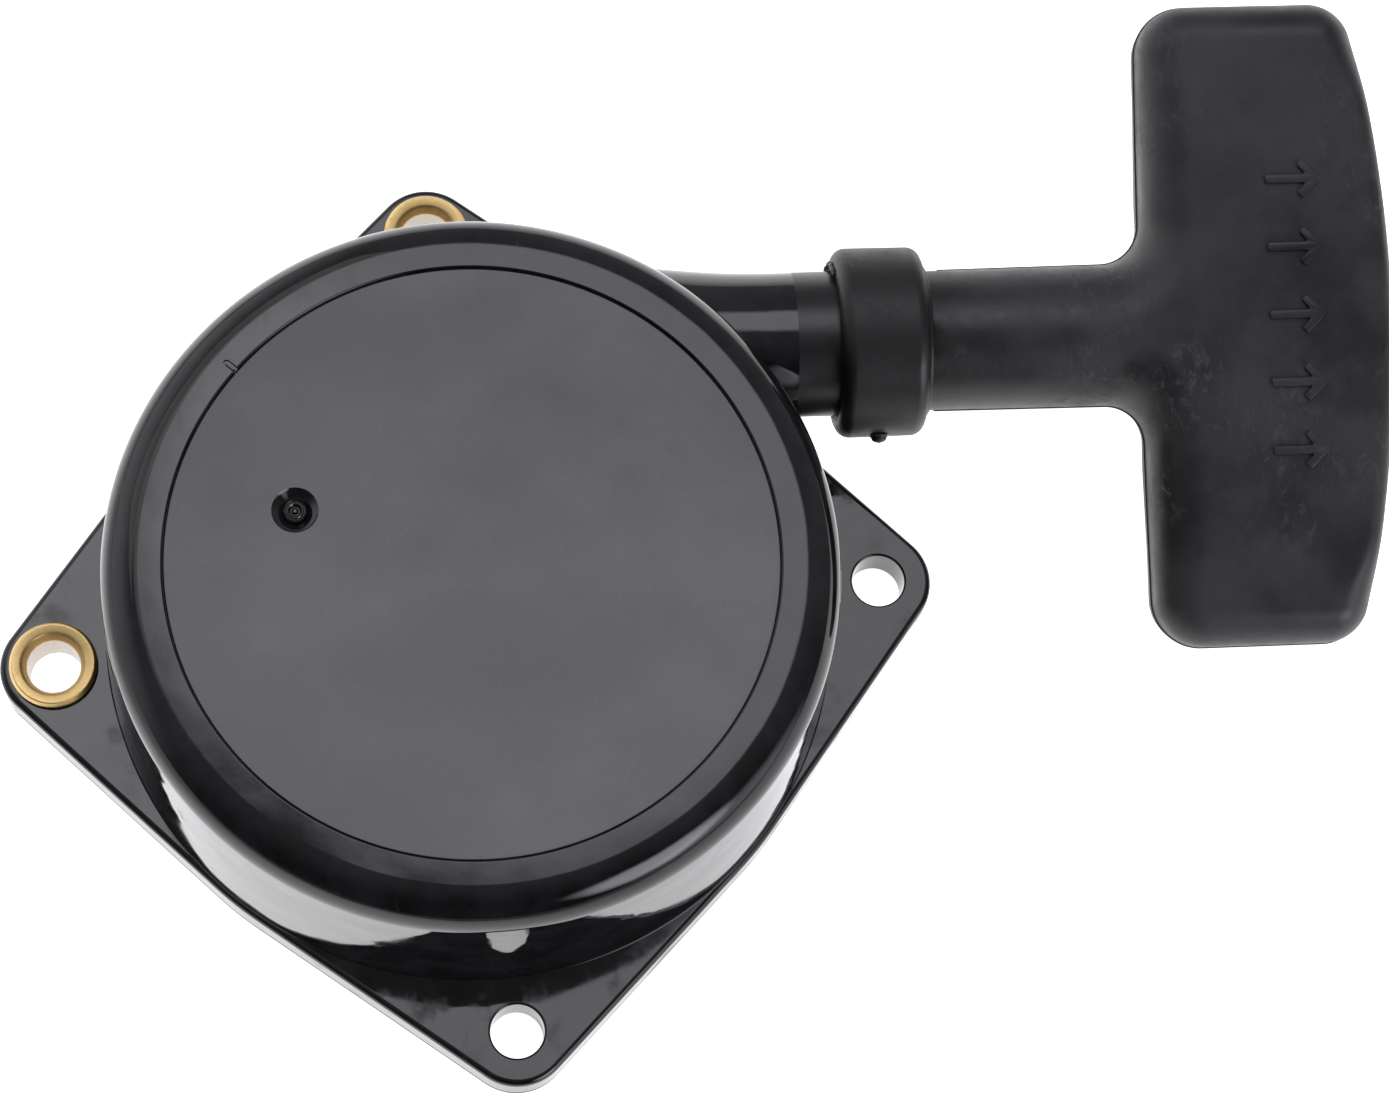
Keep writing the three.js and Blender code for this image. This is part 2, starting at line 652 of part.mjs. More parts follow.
// The crossbar: a rounded section that bows and thins towards its filleted ends.
function crossbar() {
  const power = (value) => Math.sign(value) * Math.abs(value) ** BAR_SQUARENESS;
  const straight = 0.72; // share of the rings that lie on the straight stretch
  const geometry = new THREE.CylinderGeometry(1, 1, 2, 28, 18);
  const position = geometry.attributes.position;
  for (let index = 0; index < position.count; index++) {
    const share = Math.abs(position.getY(index));
    const bend = (Math.max(0, share - straight) / (1 - straight)) * (Math.PI / 2);
    const run = Math.min(1, share / straight) * (BAR_HALF_LENGTH - BAR_END_FILLET);
    const along = run + BAR_END_FILLET * Math.sin(bend);
    const bow = (along / BAR_HALF_LENGTH) ** 2;
    const innerX = BAR_INNER_X + BAR_INNER_BOW * bow;
    const outerX = BAR_OUTER_X - BAR_OUTER_BOW * bow;
    const roundOff = BAR_END_FILLET * (1 - Math.cos(bend));
    const halfWidth = (outerX - innerX) / 2 - roundOff;
    const halfDepth = THREE.MathUtils.lerp(BAR_MIDDLE_DEPTH, BAR_END_DEPTH, bow) - roundOff * 0.7;
    const spread = Math.hypot(position.getX(index), position.getZ(index));
    const x = (innerX + outerX) / 2 + spread * halfWidth * power(position.getX(index));
    const z = spread * halfDepth * power(position.getZ(index));
    position.setXYZ(index, x, Math.sign(position.getY(index)) * along + BAR_OFFSET, z);
  }
  return solid(geometry);
}

function handleGrip() {
  const socket = rodAlongX(TUBE_END_RADIUS + 0.5, COLLAR_START_X - 1, SOCKET_END_X, MEDIUM);
  const ropeBore = rodAlongX(ROPE_BORE_RADIUS, SOCKET_END_X - 1, KNOT_SEAT_X + 1, COARSE);
  const knotPocket = rodAlongX(KNOT_POCKET_RADIUS, KNOT_SEAT_X, BAR_OUTER_X + 1, COARSE);
  const body = handleStem().add(crossbar());
  return surface(body.subtract(solid(socket)).subtract(solid(ropeBore)).subtract(solid(knotPocket)));
}

// The plug's domed face follows the palm face of the grip.
function handlePlug() {
  const radius = KNOT_POCKET_RADIUS - GAP;
  const crownX = BAR_OUTER_X - 0.4;
  const profile = [
    [0, PLUG_START_X],
    [radius, PLUG_START_X],
    [radius, crownX - 1.5],
    [radius * 0.8, crownX - 0.8],
    [radius * 0.45, crownX - 0.2],
    [0, crownX],
  ];
  return turnedAlongX(profile, COARSE);
}

function knotWasher() {
  const start = KNOT_SEAT_X + 0.2;
  const outer = KNOT_POCKET_RADIUS - 0.4;
  return ring(ROPE_RADIUS + GAP, outer, start, start + WASHER_THICKNESS, COARSE).rotateY(Math.PI / 2);
}

function ropeKnot() {
  return knot(KNOT_RADIUS, KNOT_SEAT_X + WASHER_THICKNESS + 2 * GAP, COARSE);
}

// ---- Assembly ----

function named(name, geometry, material) {
  const mesh = new THREE.Mesh(geometry, material);
  mesh.name = name;
  return mesh;
}

const starter = new THREE.Group();

starter.add(named('housing', housing(), glossyBlack()));
for (const [name, quarter] of Object.entries(GROMMET_QUARTERS)) {
  const mesh = named(name, grommet(), brass());
  const place = polar(holeRadius, holeAngle(quarter));
  mesh.position.set(place.x, place.y, 0);
  starter.add(mesh);
}
starter.add(named('rope_guide', ropeGuide(), steel()));
starter.add(named('post_insert', postInsert(), brass()));
starter.add(named('centre_screw', centreScrew(), steel()));
starter.add(named('thrust_washer', thrustWasher(), steel()));
starter.add(named('reel_bush', reelBush(), brass()));
starter.add(named('spring_case', springCase(), steel()));
starter.add(named('spring_cover', springCover(), steel()));
starter.add(named('power_spring', powerSpring(), springSteel()));

starter.add(named('reel', reel(), nylon()));
starter.add(named('rope_coil', ropeCoil(), cord()));
starter.add(named('rope_anchor_knot', ropeAnchorKnot(), cord()));
starter.add(named('friction_spring', frictionSpring(), springSteel()));
starter.add(named('guide_plate', guidePlate(), steel()));

// Each pawl and its pin sit in a group turned about the reel axis.
for (const [letter, turn] of [['a', 0], ['b', Math.PI]]) {
  const station = new THREE.Group();
  station.rotation.z = turn;
  const arm = named(`pawl_${letter}`, pawl(), steel());
  const pin = named(`pawl_pin_${letter}`, pawlPin(), springSteel());
  arm.position.x = PAWL_PIVOT_RADIUS;
  pin.position.x = PAWL_PIVOT_RADIUS;
  station.add(arm, pin);
  starter.add(station);
}

starter.add(named('rope_run', ropeRun(), cord()));

const handle = new THREE.Group();
handle.position.set(0, STEM_Y, STEM_Z);
handle.rotation.x = radians(HANDLE_TWIST);
handle.add(named('handle_grip', handleGrip(), rubberBlack()));
handle.add(named('handle_plug', handlePlug(), rubberBlack()));
handle.add(named('knot_washer', knotWasher(), steel()));
handle.add(named('rope_knot', ropeKnot(), cord()));
starter.add(handle);

export default starter;
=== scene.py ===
import math
from functools import reduce
from itertools import product

import bmesh
import bpy
import numpy as np
from mathutils import Matrix, Vector


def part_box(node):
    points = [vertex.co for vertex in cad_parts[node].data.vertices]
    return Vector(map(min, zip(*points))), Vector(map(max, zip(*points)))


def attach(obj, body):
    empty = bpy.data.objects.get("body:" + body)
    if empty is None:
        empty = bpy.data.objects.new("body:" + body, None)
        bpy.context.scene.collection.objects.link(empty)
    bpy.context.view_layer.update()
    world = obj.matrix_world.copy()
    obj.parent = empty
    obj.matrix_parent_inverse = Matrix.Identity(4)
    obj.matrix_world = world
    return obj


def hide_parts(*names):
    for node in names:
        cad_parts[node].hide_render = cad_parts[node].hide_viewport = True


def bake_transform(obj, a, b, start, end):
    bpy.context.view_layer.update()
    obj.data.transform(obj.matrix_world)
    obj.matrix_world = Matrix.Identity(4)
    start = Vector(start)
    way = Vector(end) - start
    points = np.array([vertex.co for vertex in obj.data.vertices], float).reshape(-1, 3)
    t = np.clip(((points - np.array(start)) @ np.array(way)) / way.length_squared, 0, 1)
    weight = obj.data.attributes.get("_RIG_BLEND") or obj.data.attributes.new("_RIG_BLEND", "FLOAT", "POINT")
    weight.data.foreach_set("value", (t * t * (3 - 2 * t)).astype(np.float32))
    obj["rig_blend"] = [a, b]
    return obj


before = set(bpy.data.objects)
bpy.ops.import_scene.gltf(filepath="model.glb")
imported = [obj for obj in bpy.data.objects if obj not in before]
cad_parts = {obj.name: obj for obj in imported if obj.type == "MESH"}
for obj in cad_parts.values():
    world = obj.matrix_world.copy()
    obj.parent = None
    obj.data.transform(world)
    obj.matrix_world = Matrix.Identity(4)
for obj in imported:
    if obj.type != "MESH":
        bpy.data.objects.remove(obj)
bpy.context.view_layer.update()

# A recoil starter: drum housing with a square flange, T-handle on a rope, and the rewind
# mechanism inside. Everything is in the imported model's frame: the origin is on the reel axis in
# the plane of the flange's back face, +Z to the drum's closed front, +X the pull. Shapes are
# written in millimetres and scaled by MM when their mesh is made.

MM = 0.001


def extent(node):
    """Lowest and highest corner of a CAD node, in millimetres."""
    low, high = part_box(node)
    return np.array(low) / MM, np.array(high) / MM


# ---- Camera ----

SENSOR = 36.0
LENS = 102.57
CAMERA_PLACE = Vector((-11.136, -131.761, 475.142)) * MM
CAMERA_BACK = Vector((-0.07991, -0.28519, 0.95514)).normalized()
CAMERA_UP = Vector((0.03344, 0.95689, 0.28851))


def make_camera():
    data = bpy.data.cameras.new("camera")
    data.sensor_width = SENSOR
    data.lens = LENS
    data.clip_start, data.clip_end = 0.01, 20
    camera = bpy.data.objects.new("camera", data)
    painted_shade_right = CAMERA_UP.cross(CAMERA_BACK).normalized()
    up = CAMERA_BACK.cross(painted_shade_right)
    turn = Matrix((painted_shade_right, up, CAMERA_BACK)).transposed()
    camera.matrix_world = Matrix.Translation(CAMERA_PLACE) @ turn.to_4x4()
    bpy.context.scene.collection.objects.link(camera)
    bpy.context.scene.camera = camera


make_camera()

# ---- Driving dimensions, in millimetres ----

ROPE_LOW, ROPE_HIGH = extent("rope_run")
DRUM_TOP = extent("housing")[1][2]
ROPE_Y = (ROPE_LOW[1] + ROPE_HIGH[1]) / 2  # the rope's line above the reel axis
ROPE_Z = (ROPE_LOW[2] + ROPE_HIGH[2]) / 2
ROPE_RADIUS = 1.75
ROPE_LINE = (0, ROPE_Y, ROPE_Z)

HOLE_CIRCLE = 36 * math.sqrt(2)
PATTERN_TURN = 4.1  # degrees to the first hole
HOLE_RADIUS = 3.25
FLANGE_TOP = 6.0
FLANGE_RIM = 45.0  # circle that the flange's sides touch
FLANGE_EAR = 6.57
FLANGE_EDGE = 0.8
SLEEVED = {1: "grommet_top", 2: "grommet_left"}
GROMMET_SLEEVE = 4.2
GROMMET_LIP = 5.36

DRUM_ROOT = 44.4
DRUM_SHOULDER = 43.2
SHOULDER_FILLET = 5.0
RING_FALL = 0.5  # the ring round the disc slopes down by this much to the shoulder
DISC_RADIUS = 36.0
DISC_DEPTH = 0.4
DISC_Z = DRUM_TOP - DISC_DEPTH
GATE_PLACE = (-20.49, 6.53)
GATE_RADIUS = 2.8
TICK_TURN = 138.5  # degrees to the short mark just outside the disc
CEILING = DISC_Z - 2.8
CAVITY_RADIUS = 40.2

TUBE_END = 50.4
TUBE_ROOT_RADIUS = 10.5
TUBE_END_RADIUS = 8.9
TUBE_TAPER_END = 33.0
TUBE_SATIN = 40.5  # from here to its mouth the tube is satin, not polished
TUBE_BORE = 6.0

ANCHOR_TURN = 200  # degrees to the hole where the rope is anchored in the reel
ANCHOR_Z = ROPE_Z + 1.4
REEL_RADIUS = 36.5
REEL_BACK = 12.2
GROOVE_LOW, GROOVE_HIGH = ROPE_Z - 3.7, ROPE_Z + 3.7
GROOVE_RADIUS = 22.0
REEL_FRONT = GROOVE_HIGH + 1.6
HUB_RADIUS, HUB_END = 10.6, 29.4
REEL_BORE = 8.7
DISH_INNER, DISH_OUTER, DISH_FLOOR = 12.5, 20, 15.5  # the hollow in the reel's front
PAWL_PIVOT = 17.5

HANDLE_TWIST = math.radians(16.6)

# Facets of turned surfaces, by their size
RULED = 256
ROUND = 96
SMALL = 48


# ---- Mesh tools ----


def link(name, mesh):
    thing = bpy.data.objects.new(name, mesh)
    bpy.context.scene.collection.objects.link(thing)
    return thing


def build(name, points, faces):
    """A mesh object from points in millimetres, its faces turned outwards."""
    mesh = bpy.data.meshes.new(name)
    mesh.from_pydata((np.asarray(points, float) * MM).tolist(), [], faces)
    work = bmesh.new()
    work.from_mesh(mesh)
    bmesh.ops.remove_doubles(work, verts=work.verts, dist=1e-7)
    bmesh.ops.recalc_face_normals(work, faces=work.faces)
    work.to_mesh(mesh)
    work.free()
    return link(name, mesh)


def points_of(mesh):
    """A mesh's points, in millimetres."""
    points = np.empty(len(mesh.vertices) * 3)
    mesh.vertices.foreach_get("co", points)
    return points.reshape(-1, 3) / MM


def rounded(corners, steps=5, closed=True):
    """Points of a polygon of (x, y, fillet) corners, each rounded to its fillet."""
    points = []
    for index, (x, y, fillet) in enumerate(corners):
        inner = closed or 0 < index < len(corners) - 1
        if fillet == 0 or not inner:
            points.append((x, y))
            continue
        here = Vector((x, y))
        back = (Vector(corners[index - 1][:2]) - here).normalized()
        ahead = (Vector(corners[(index + 1) % len(corners)][:2]) - here).normalized()
        half = back.angle(ahead) / 2
        centre = here + (back + ahead).normalized() * (fillet / math.sin(half))
        start = here + back * (fillet / math.tan(half)) - centre
        end = here + ahead * (fillet / math.tan(half)) - centre
        sweep = math.atan2(start.x * end.y - start.y * end.x, start.dot(end))
        for step in range(steps + 1):
            angle = math.atan2(start.y, start.x) + sweep * step / steps
            across, up = fillet * math.cos(angle), fillet * math.sin(angle)
            points.append((centre.x + across, centre.y + up))
    return points


def ring_strip(rings, around, closed_up):
    """Quads between neighbouring rings of point numbers; a ring of one point is a pole."""
    faces = []
    pairs = list(zip(rings, rings[1:])) + ([(rings[-1], rings[0])] if closed_up else [])
    for low, high in pairs:
        for step in range(around):
            ahead = (step + 1) % around
            if len(low) == 1 and len(high) == 1:
                continue
            if len(low) == 1:
                faces.append((low[0], high[step], high[ahead]))
            elif len(high) == 1:
                faces.append((low[step], high[0], low[ahead]))
            else:
                faces.append((low[step], high[step], high[ahead], low[ahead]))
    return faces


def stacked(rings):
    """All the points of some rings, and the rings again as numbers of those points."""
    starts = np.cumsum([0] + [len(ring) for ring in rings]).tolist()
    numbers = [list(range(*ends)) for ends in zip(starts, starts[1:])]
    return [point for ring in rings for point in ring], numbers


def turned(name, profile, segments=ROUND, along="Z", place=(0, 0, 0)):
    """A profile of (radius, height) turned about an axis; off the axis it closes on itself."""
    rings = []
    for radius, height in profile:
        flat = circle(radius, segments) if abs(radius) > 1e-6 else [(0, 0)]
        rings.append([(x, y, height) for x, y in flat])
    points, rings = stacked(rings)
    points = np.array(points)
    if along == "X":
        points = points[:, [2, 0, 1]]
    closed_up = abs(profile[0][0]) > 1e-6
    return build(name, points + np.array(place), ring_strip(rings, segments, closed_up))


def lathe(name, corners, steps, segments=ROUND, along="Z", place=(0, 0, 0)):
    """A profile of (radius, height, fillet) corners turned about an axis."""
    return turned(name, rounded(corners, steps, corners[0][0] > 0), segments, along, place)


def band(inner, outer, low, high, inner_fillet=0, outer_fillet=0):
    """Profile of a ring, or of a rod if inner is 0."""
    inside, outside = (inner, inner_fillet), (outer, outer_fillet)
    sides = ((inside, low), (outside, low), (outside, high), (inside, high))
    return [(radius, height, fillet) for (radius, fillet), height in sides]


def prism(name, outline, low, high):
    """A flat outline drawn up from low to high."""
    count = len(outline)
    points = [(x, y, low) for x, y in outline] + [(x, y, high) for x, y in outline]
    faces = [tuple(range(count)), tuple(range(count, 2 * count))]
    for step in range(count):
        ahead = (step + 1) % count
        faces.append((step, ahead, count + ahead, count + step))
    return build(name, points, faces)


def circle(radius, segments=SMALL, place=(0, 0)):
    angles = [2 * math.pi * step / segments for step in range(segments)]
    return [(place[0] + radius * math.cos(a), place[1] + radius * math.sin(a)) for a in angles]


def polar(radius, degrees):
    angle = math.radians(degrees)
    return np.array((radius * math.cos(angle), radius * math.sin(angle)))


def unit(rows):
    """Vectors of the same directions and of length one."""
    return rows / np.linalg.norm(rows, axis=-1, keepdims=True)


def spin(degrees, axis="Z"):
    return Matrix.Rotation(math.radians(degrees), 3, axis)


def ease(value, low, high):
    """Rises smoothly from nought at low to one at high."""
    share = np.clip((value - low) / (high - low), 0, 1)
    return share * share * (3 - 2 * share)


def settle(thing):
    """Applies a thing's modifiers."""
    graph = bpy.context.evaluated_depsgraph_get()
    mesh = bpy.data.meshes.new_from_object(thing.evaluated_get(graph))
    thing.modifiers.clear()
    old, thing.data = thing.data, mesh
    bpy.data.meshes.remove(old)
    return thing


def combine(thing, other, operation):
    """Joins other to thing, or cuts it away, and drops other."""
    change = thing.modifiers.new("combine", "BOOLEAN")
    change.operation = operation
    change.solver = "MANIFOLD"
    change.object = other
    settle(thing)
    bpy.data.objects.remove(other)
    return thing


def add(thing, other):
    return combine(thing, other, "UNION")


def cut(thing, other):
    return combine(thing, other, "DIFFERENCE")


def soften(thing, width, segments=3, angle=40):
    """Rounds a thing's sharp edges, by millimetres."""
    bevel = thing.modifiers.new("bevel", "BEVEL")
    bevel.width = width * MM
    bevel.segments = segments
    bevel.limit_method = "ANGLE"
    bevel.angle_limit = math.radians(angle)
    bevel.harden_normals = False
    return settle(thing)


def move(thing, turn=None, place=(0, 0, 0)):
    """Turns a mesh by a matrix and moves it by millimetres."""
    matrix = Matrix.Translation(Vector(place) * MM)
    if turn is not None:
        matrix = matrix @ turn.to_4x4()
    thing.data.transform(matrix)
    return thing


def swept(name, path, radius, sides=12, closed=False):
    """A round tube along a path of points, with rounded-off closed ends."""
    path = np.asarray(path, float)
    ahead = np.roll(path, -1, axis=0) - path
    behind = path - np.roll(path, 1, axis=0)
    if not closed:
        ahead[-1], behind[0] = behind[-1], ahead[0]
    tangent = unit(unit(ahead) + unit(behind))
    normal = np.cross(tangent[0], (0.31, 0.27, 0.91))
    points, rings = [], []
    for place, heading in zip(path, tangent):
        normal = unit(normal - heading * (normal @ heading))
        side = np.cross(heading, normal)
        rings.append(list(range(len(points), len(points) + sides)))
        for step in range(sides):
            angle = 2 * math.pi * step / sides
            points.append(place + radius * (math.cos(angle) * normal + math.sin(angle) * side))
    if not closed:
        caps = []
        for ring, place, out in ((0, path[0], -tangent[0]), (-1, path[-1], tangent[-1])):
            cap = list(range(len(points), len(points) + sides))
            points += [place + (points[i] - place) * 0.7 + out * radius * 0.3 for i in rings[ring]]
            caps.append([[len(points)], cap])
            points.append(place + out * radius * 0.42)
        rings = caps[0] + rings + caps[1][::-1]
    return build(name, points, ring_strip(rings, sides, closed))


def finish_piece(thing, material, body, nodes=(), angle=35, weighted=True):
    """Shades a piece, gives it its material and puts it on its body in place of CAD nodes."""
    mesh = thing.data
    if material:
        mesh.materials.clear()
        mesh.materials.append(material)
        mesh.polygons.foreach_set("material_index", [0] * len(mesh.polygons))
    mesh.shade_smooth()
    mesh.set_sharp_from_angle(angle=math.radians(angle))
    if weighted:
        normals = thing.modifiers.new("normals", "WEIGHTED_NORMAL")
        normals.mode = "FACE_AREA"
        normals.keep_sharp = True
    if body:
        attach(thing, body)
    if nodes:
        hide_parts(*nodes)
    return thing


def turned_piece(name, node, material, slot, corners, steps, *shape, body="housing", **where):
    """A plain turned metal piece. The rest says its facets, axis and place."""
    thing = lathe(name, corners, steps, *shape, **where)
    finish_piece(thing, material, body, [node], 45, False)


# ---- Materials ----


class Nodes:
    """A node tree to which nodes are added, their inputs values or other nodes' outputs."""

    def __init__(self, tree):
        self.tree = tree

    def node(self, kind, inputs=None, **settings):
        made = self.tree.nodes.new(kind)
        for key, value in settings.items():
            setattr(made, key, value)
        for key, value in (inputs or {}).items():
            if isinstance(value, bpy.types.NodeSocket):
                self.tree.links.new(value, made.inputs[key])
            else:
                made.inputs[key].default_value = value
        return made

    def maths(self, operation, first, second=0.0, third=0.0):
        inputs = {0: first, 1: second}
        if operation == "MULTIPLY_ADD":
            inputs[2] = third
        return self.node("ShaderNodeMath", inputs, operation=operation).outputs[0]

    def times(self, first, second):
        return self.maths("MULTIPLY", first, second)

    def plus(self, first, second):
        return self.maths("ADD", first, second)

    def most(self, first, second):
        return self.maths("MAXIMUM", first, second)

    def spread(self, value, low, high, to_low=0.0, to_high=1.0):
        """value mapped from low..high to to_low..to_high, and held there."""
        inputs = {"Value": value, 1: low, 2: high, 3: to_low, 4: to_high}
        return self.node("ShaderNodeMapRange", inputs, interpolation_type="SMOOTHSTEP").outputs[0]


class Surface(Nodes):
    """A Principled material whose colour, roughness and bump come from object-space nodes."""

    def __init__(self, name, **values):
        self.material = bpy.data.materials.new(name)
        self.material.use_nodes = True
        super().__init__(self.material.node_tree)
        self.shader = self.tree.nodes["Principled BSDF"]
        for socket, value in values.items():
            self.shader.inputs[socket.replace("_", " ")].default_value = value
        self.place = self.node("ShaderNodeTexCoord").outputs["Object"]
        self.bump = None

    def axes(self):
        """The three object coordinates, in metres."""
        return list(self.node("ShaderNodeSeparateXYZ", {0: self.place}).outputs)

    def stretched(self, scale):
        """Object coordinates, per metre, scaled along each axis."""
        return self.node("ShaderNodeMapping", {"Vector": self.place, "Scale": scale}).outputs[0]

    def noise(self, per_mm, detail=2.0, rough=0.5, place=None, distortion=0.0):
        """A noise of about so many lumps per millimetre."""
        inputs = {"Vector": place or self.place, "Scale": per_mm / MM, "Detail": detail}
        inputs.update(Roughness=rough, Distortion=distortion)
        return self.node("ShaderNodeTexNoise", inputs).outputs["Fac"]

    def specks(self, per_mm, size):
        """1 at scattered specks, so many per millimetre, falling to 0 at their size."""
        inputs = {"Vector": self.place, "Scale": per_mm / MM}
        cells = self.node("ShaderNodeTexVoronoi", inputs).outputs["Distance"]
        return self.spread(cells, 0.0, size, 1.0, 0.0)

    def patch(self, place, radius):
        """1 round a place, falling to 0 at a radius, both in millimetres."""
        ends = {0: self.place, 1: Vector(place) * MM}
        away = self.node("ShaderNodeVectorMath", ends, operation="DISTANCE").outputs["Value"]
        return self.spread(away, 0.3 * radius * MM, radius * MM, 1.0, 0.0)

    def mix(self, share, first, second):
        inputs = {"Factor": share, 6: first, 7: second}
        return self.node("ShaderNodeMix", inputs, data_type="RGBA").outputs[2]

    def join(self, socket, value):
        self.tree.links.new(value, self.shader.inputs[socket])

    def colour(self, value):
        self.join("Base Color", value)

    def rough(self, value):
        self.join("Roughness", value)

    def raise_by(self, height, depth_mm, strength=1.0):
        """Adds a bump whose full height is depth_mm."""
        inputs = {"Height": height, "Distance": depth_mm * MM, "Strength": strength}
        if self.bump:
            inputs["Normal"] = self.bump
        self.bump = self.node("ShaderNodeBump", inputs).outputs["Normal"]
        self.join("Normal", self.bump)


def rgb(red, green, blue):
    return (red, green, blue, 1.0)


def housing_plastic():
    """Glossy moulded black: slight waviness, clouded gloss, dust specks and hairline scuffs."""
    look = Surface("housing_plastic", Roughness=0.1, Specular_IOR_Level=0.46)
    cloud = look.noise(0.12, 4, 0.6)
    rare = look.spread(look.noise(0.12, 1), 0.56, 0.66)
    speck = look.times(look.specks(0.45, 0.09), rare)
    hairs = look.spread(look.noise(0.5, 3, 0.7, look.stretched((1.0, 0.06, 0.4)), 0.4), 0.66, 0.74)
    mottle = look.spread(look.noise(0.14, 6, 0.7), 0.35, 0.65)
    base = look.mix(mottle, rgb(0.0014, 0.0014, 0.0018), rgb(0.0090, 0.0088, 0.0098))
    base = look.mix(look.times(hairs, 0.2), base, rgb(0.05, 0.05, 0.05))
    look.colour(look.mix(speck, base, rgb(0.07, 0.07, 0.065)))
    scuffs = look.noise(0.35, 4, 0.7, look.stretched((1.0, 0.22, 1.0)))
    haze = look.spread(scuffs, 0.56, 0.75, 0.0, 0.12)
    gloss = look.plus(haze, look.spread(cloud, 0.35, 0.7, 0.02, 0.08))
    gloss = look.plus(gloss, look.times(look.plus(speck, hairs), 0.25))
    along, up, over = look.axes()
    mouth = look.spread(along, TUBE_SATIN * MM, (TUBE_SATIN + 0.15) * MM)
    on_tube = look.spread(up, (ROPE_Y - 11) * MM, (ROPE_Y - 10.8) * MM)
    above_flange = look.spread(over, FLANGE_TOP * MM, (FLANGE_TOP + 0.5) * MM)
    mouth = look.times(mouth, look.times(on_tube, above_flange))
    gloss = look.most(gloss, look.times(mouth, 0.36))
    on_flange = look.spread(over, (FLANGE_TOP + 0.2) * MM, (FLANGE_TOP + 0.8) * MM, 1.0, 0.0)
    blotch = look.spread(look.noise(0.15, 4, 0.62), 0.44, 0.70, 0.0, 0.27)
    look.rough(look.most(gloss, look.times(blotch, on_flange)))
    look.raise_by(look.noise(0.07, 2), 0.3, 0.6)
    look.raise_by(look.noise(0.3, 2), 0.02, 0.6)
    look.raise_by(scuffs, 0.003, 0.5)
    return look.material


def disc_satin():
    """The satin disc on the drum's front: faint clouds, and painted light that makes it paler towards its
    lower edge.
    """
    look = Surface("disc_satin", Roughness=0.3, Specular_IOR_Level=0.5)
    drift = look.noise(0.03, 2, 0.5, look.stretched((0.55, 1.0, 1.0)))
    cloud = look.noise(0.085, 5, 0.6)
    tone = look.plus(look.times(drift, 0.5), look.times(cloud, 0.5))
    tone = look.spread(tone, 0.38, 0.62)
    dust = look.times(look.specks(0.3, 0.07), 0.25)
    up = look.axes()[1]
    # Painted light: the disc's colour is paler towards its lower edge and darker towards its top, then mixed
    # with the clouds
    painted_light_and_tone = look.spread(up, -0.8 * DISC_RADIUS * MM, 0.7 * DISC_RADIUS * MM, 1.0, 0.0)
    painted_light_and_tone = look.plus(look.times(painted_light_and_tone, 0.45), look.times(tone, 0.55))
    base = look.mix(painted_light_and_tone, rgb(0.001, 0.002, 0.003), rgb(0.078, 0.082, 0.086))
    look.colour(look.mix(dust, base, rgb(0.08, 0.08, 0.08)))
    look.rough(look.spread(cloud, 0.35, 0.65, 0.255, 0.30))
    look.raise_by(look.noise(0.05, 2), 0.1, 0.3)
    return look.material


RUBBED_PLACES = ((79.0, 33.6, 24.0), (89.6, 22.3, 22.0), (100.0, 17.0, 20.0))
RUBBED_RADIUS = 9.0
COLLAR_DARK_TO = 56.0  # the rubber is darker up to here along the handle


def handle_rubber():
    """Satin moulded rubber with a fine grain, cloudy gloss and pale rubbed places."""
    look = Surface("handle_rubber", Roughness=0.4, Specular_IOR_Level=0.42)
    cloud = look.noise(0.07, 5, 0.62)
    fleck = look.noise(0.8, 5, 0.75, distortion=0.6)
    crease = look.noise(0.55, 5, 0.8, look.stretched((1.0, 0.45, 1.0)), 1.2)
    zone = look.spread(look.noise(0.045, 2), 0.5, 0.64)
    for place in RUBBED_PLACES:
        zone = look.most(zone, look.patch(place, RUBBED_RADIUS))
    rubbed = look.times(look.spread(crease, 0.52, 0.62), zone)
    clouds = look.spread(cloud, 0.3, 0.7)
    base = look.mix(clouds, rgb(0.008, 0.008, 0.009), rgb(0.029, 0.028, 0.029))
    past_collar = look.spread(look.axes()[0], COLLAR_DARK_TO * MM, (COLLAR_DARK_TO + 8) * MM)
    base = look.mix(past_collar, rgb(0.0035, 0.0035, 0.0038), base)
    look.colour(look.mix(look.times(rubbed, 0.45), base, rgb(0.066, 0.063, 0.064)))
    satin = look.spread(cloud, 0.35, 0.65, 0.38, 0.52)
    satin = look.plus(satin, look.spread(fleck, 0.3, 0.7, -0.03, 0.05))
    look.rough(look.plus(satin, look.times(rubbed, 0.14)))
    look.raise_by(look.noise(3.0, 2), 0.008, 0.6)
    look.raise_by(fleck, 0.04, 0.55)
    look.raise_by(rubbed, 0.05, 0.6)
    look.raise_by(cloud, 0.2, 0.4)
    return look.material


def brass(name, dull=0.0):
    """Tumbled brass; the wall of its bore has painted light that makes it paler, and is smoother."""
    look = Surface(name, Metallic=1.0, Roughness=0.3)
    stain = look.noise(0.5, 4, 0.65)
    grit = look.noise(4.0, 3, 0.7)
    base = look.mix(stain, rgb(0.62, 0.43, 0.17), rgb(0.88, 0.65, 0.31))
    pitted = look.times(look.spread(grit, 0.5, 0.8), 0.5)
    base = look.mix(pitted, base, rgb(0.36, 0.22, 0.08))
    height = look.axes()[2]
    # Painted light: below the flange's top the bore's wall is painted paler, and it is also made smoother
    # there
    painted_bore_light = look.spread(height, (FLANGE_TOP - 0.6) * MM, (FLANGE_TOP + 0.1) * MM, 1.0, 0.0)
    look.colour(look.mix(painted_bore_light, base, rgb(0.42, 0.365, 0.31)))
    rough = look.spread(grit, 0.25, 0.8, 0.40 + dull, 0.56 + dull)
    look.rough(look.times(rough, look.spread(painted_bore_light, 0.0, 1.0, 1.0, 0.6)))
    look.raise_by(grit, 0.012, 0.5)
    return look.material


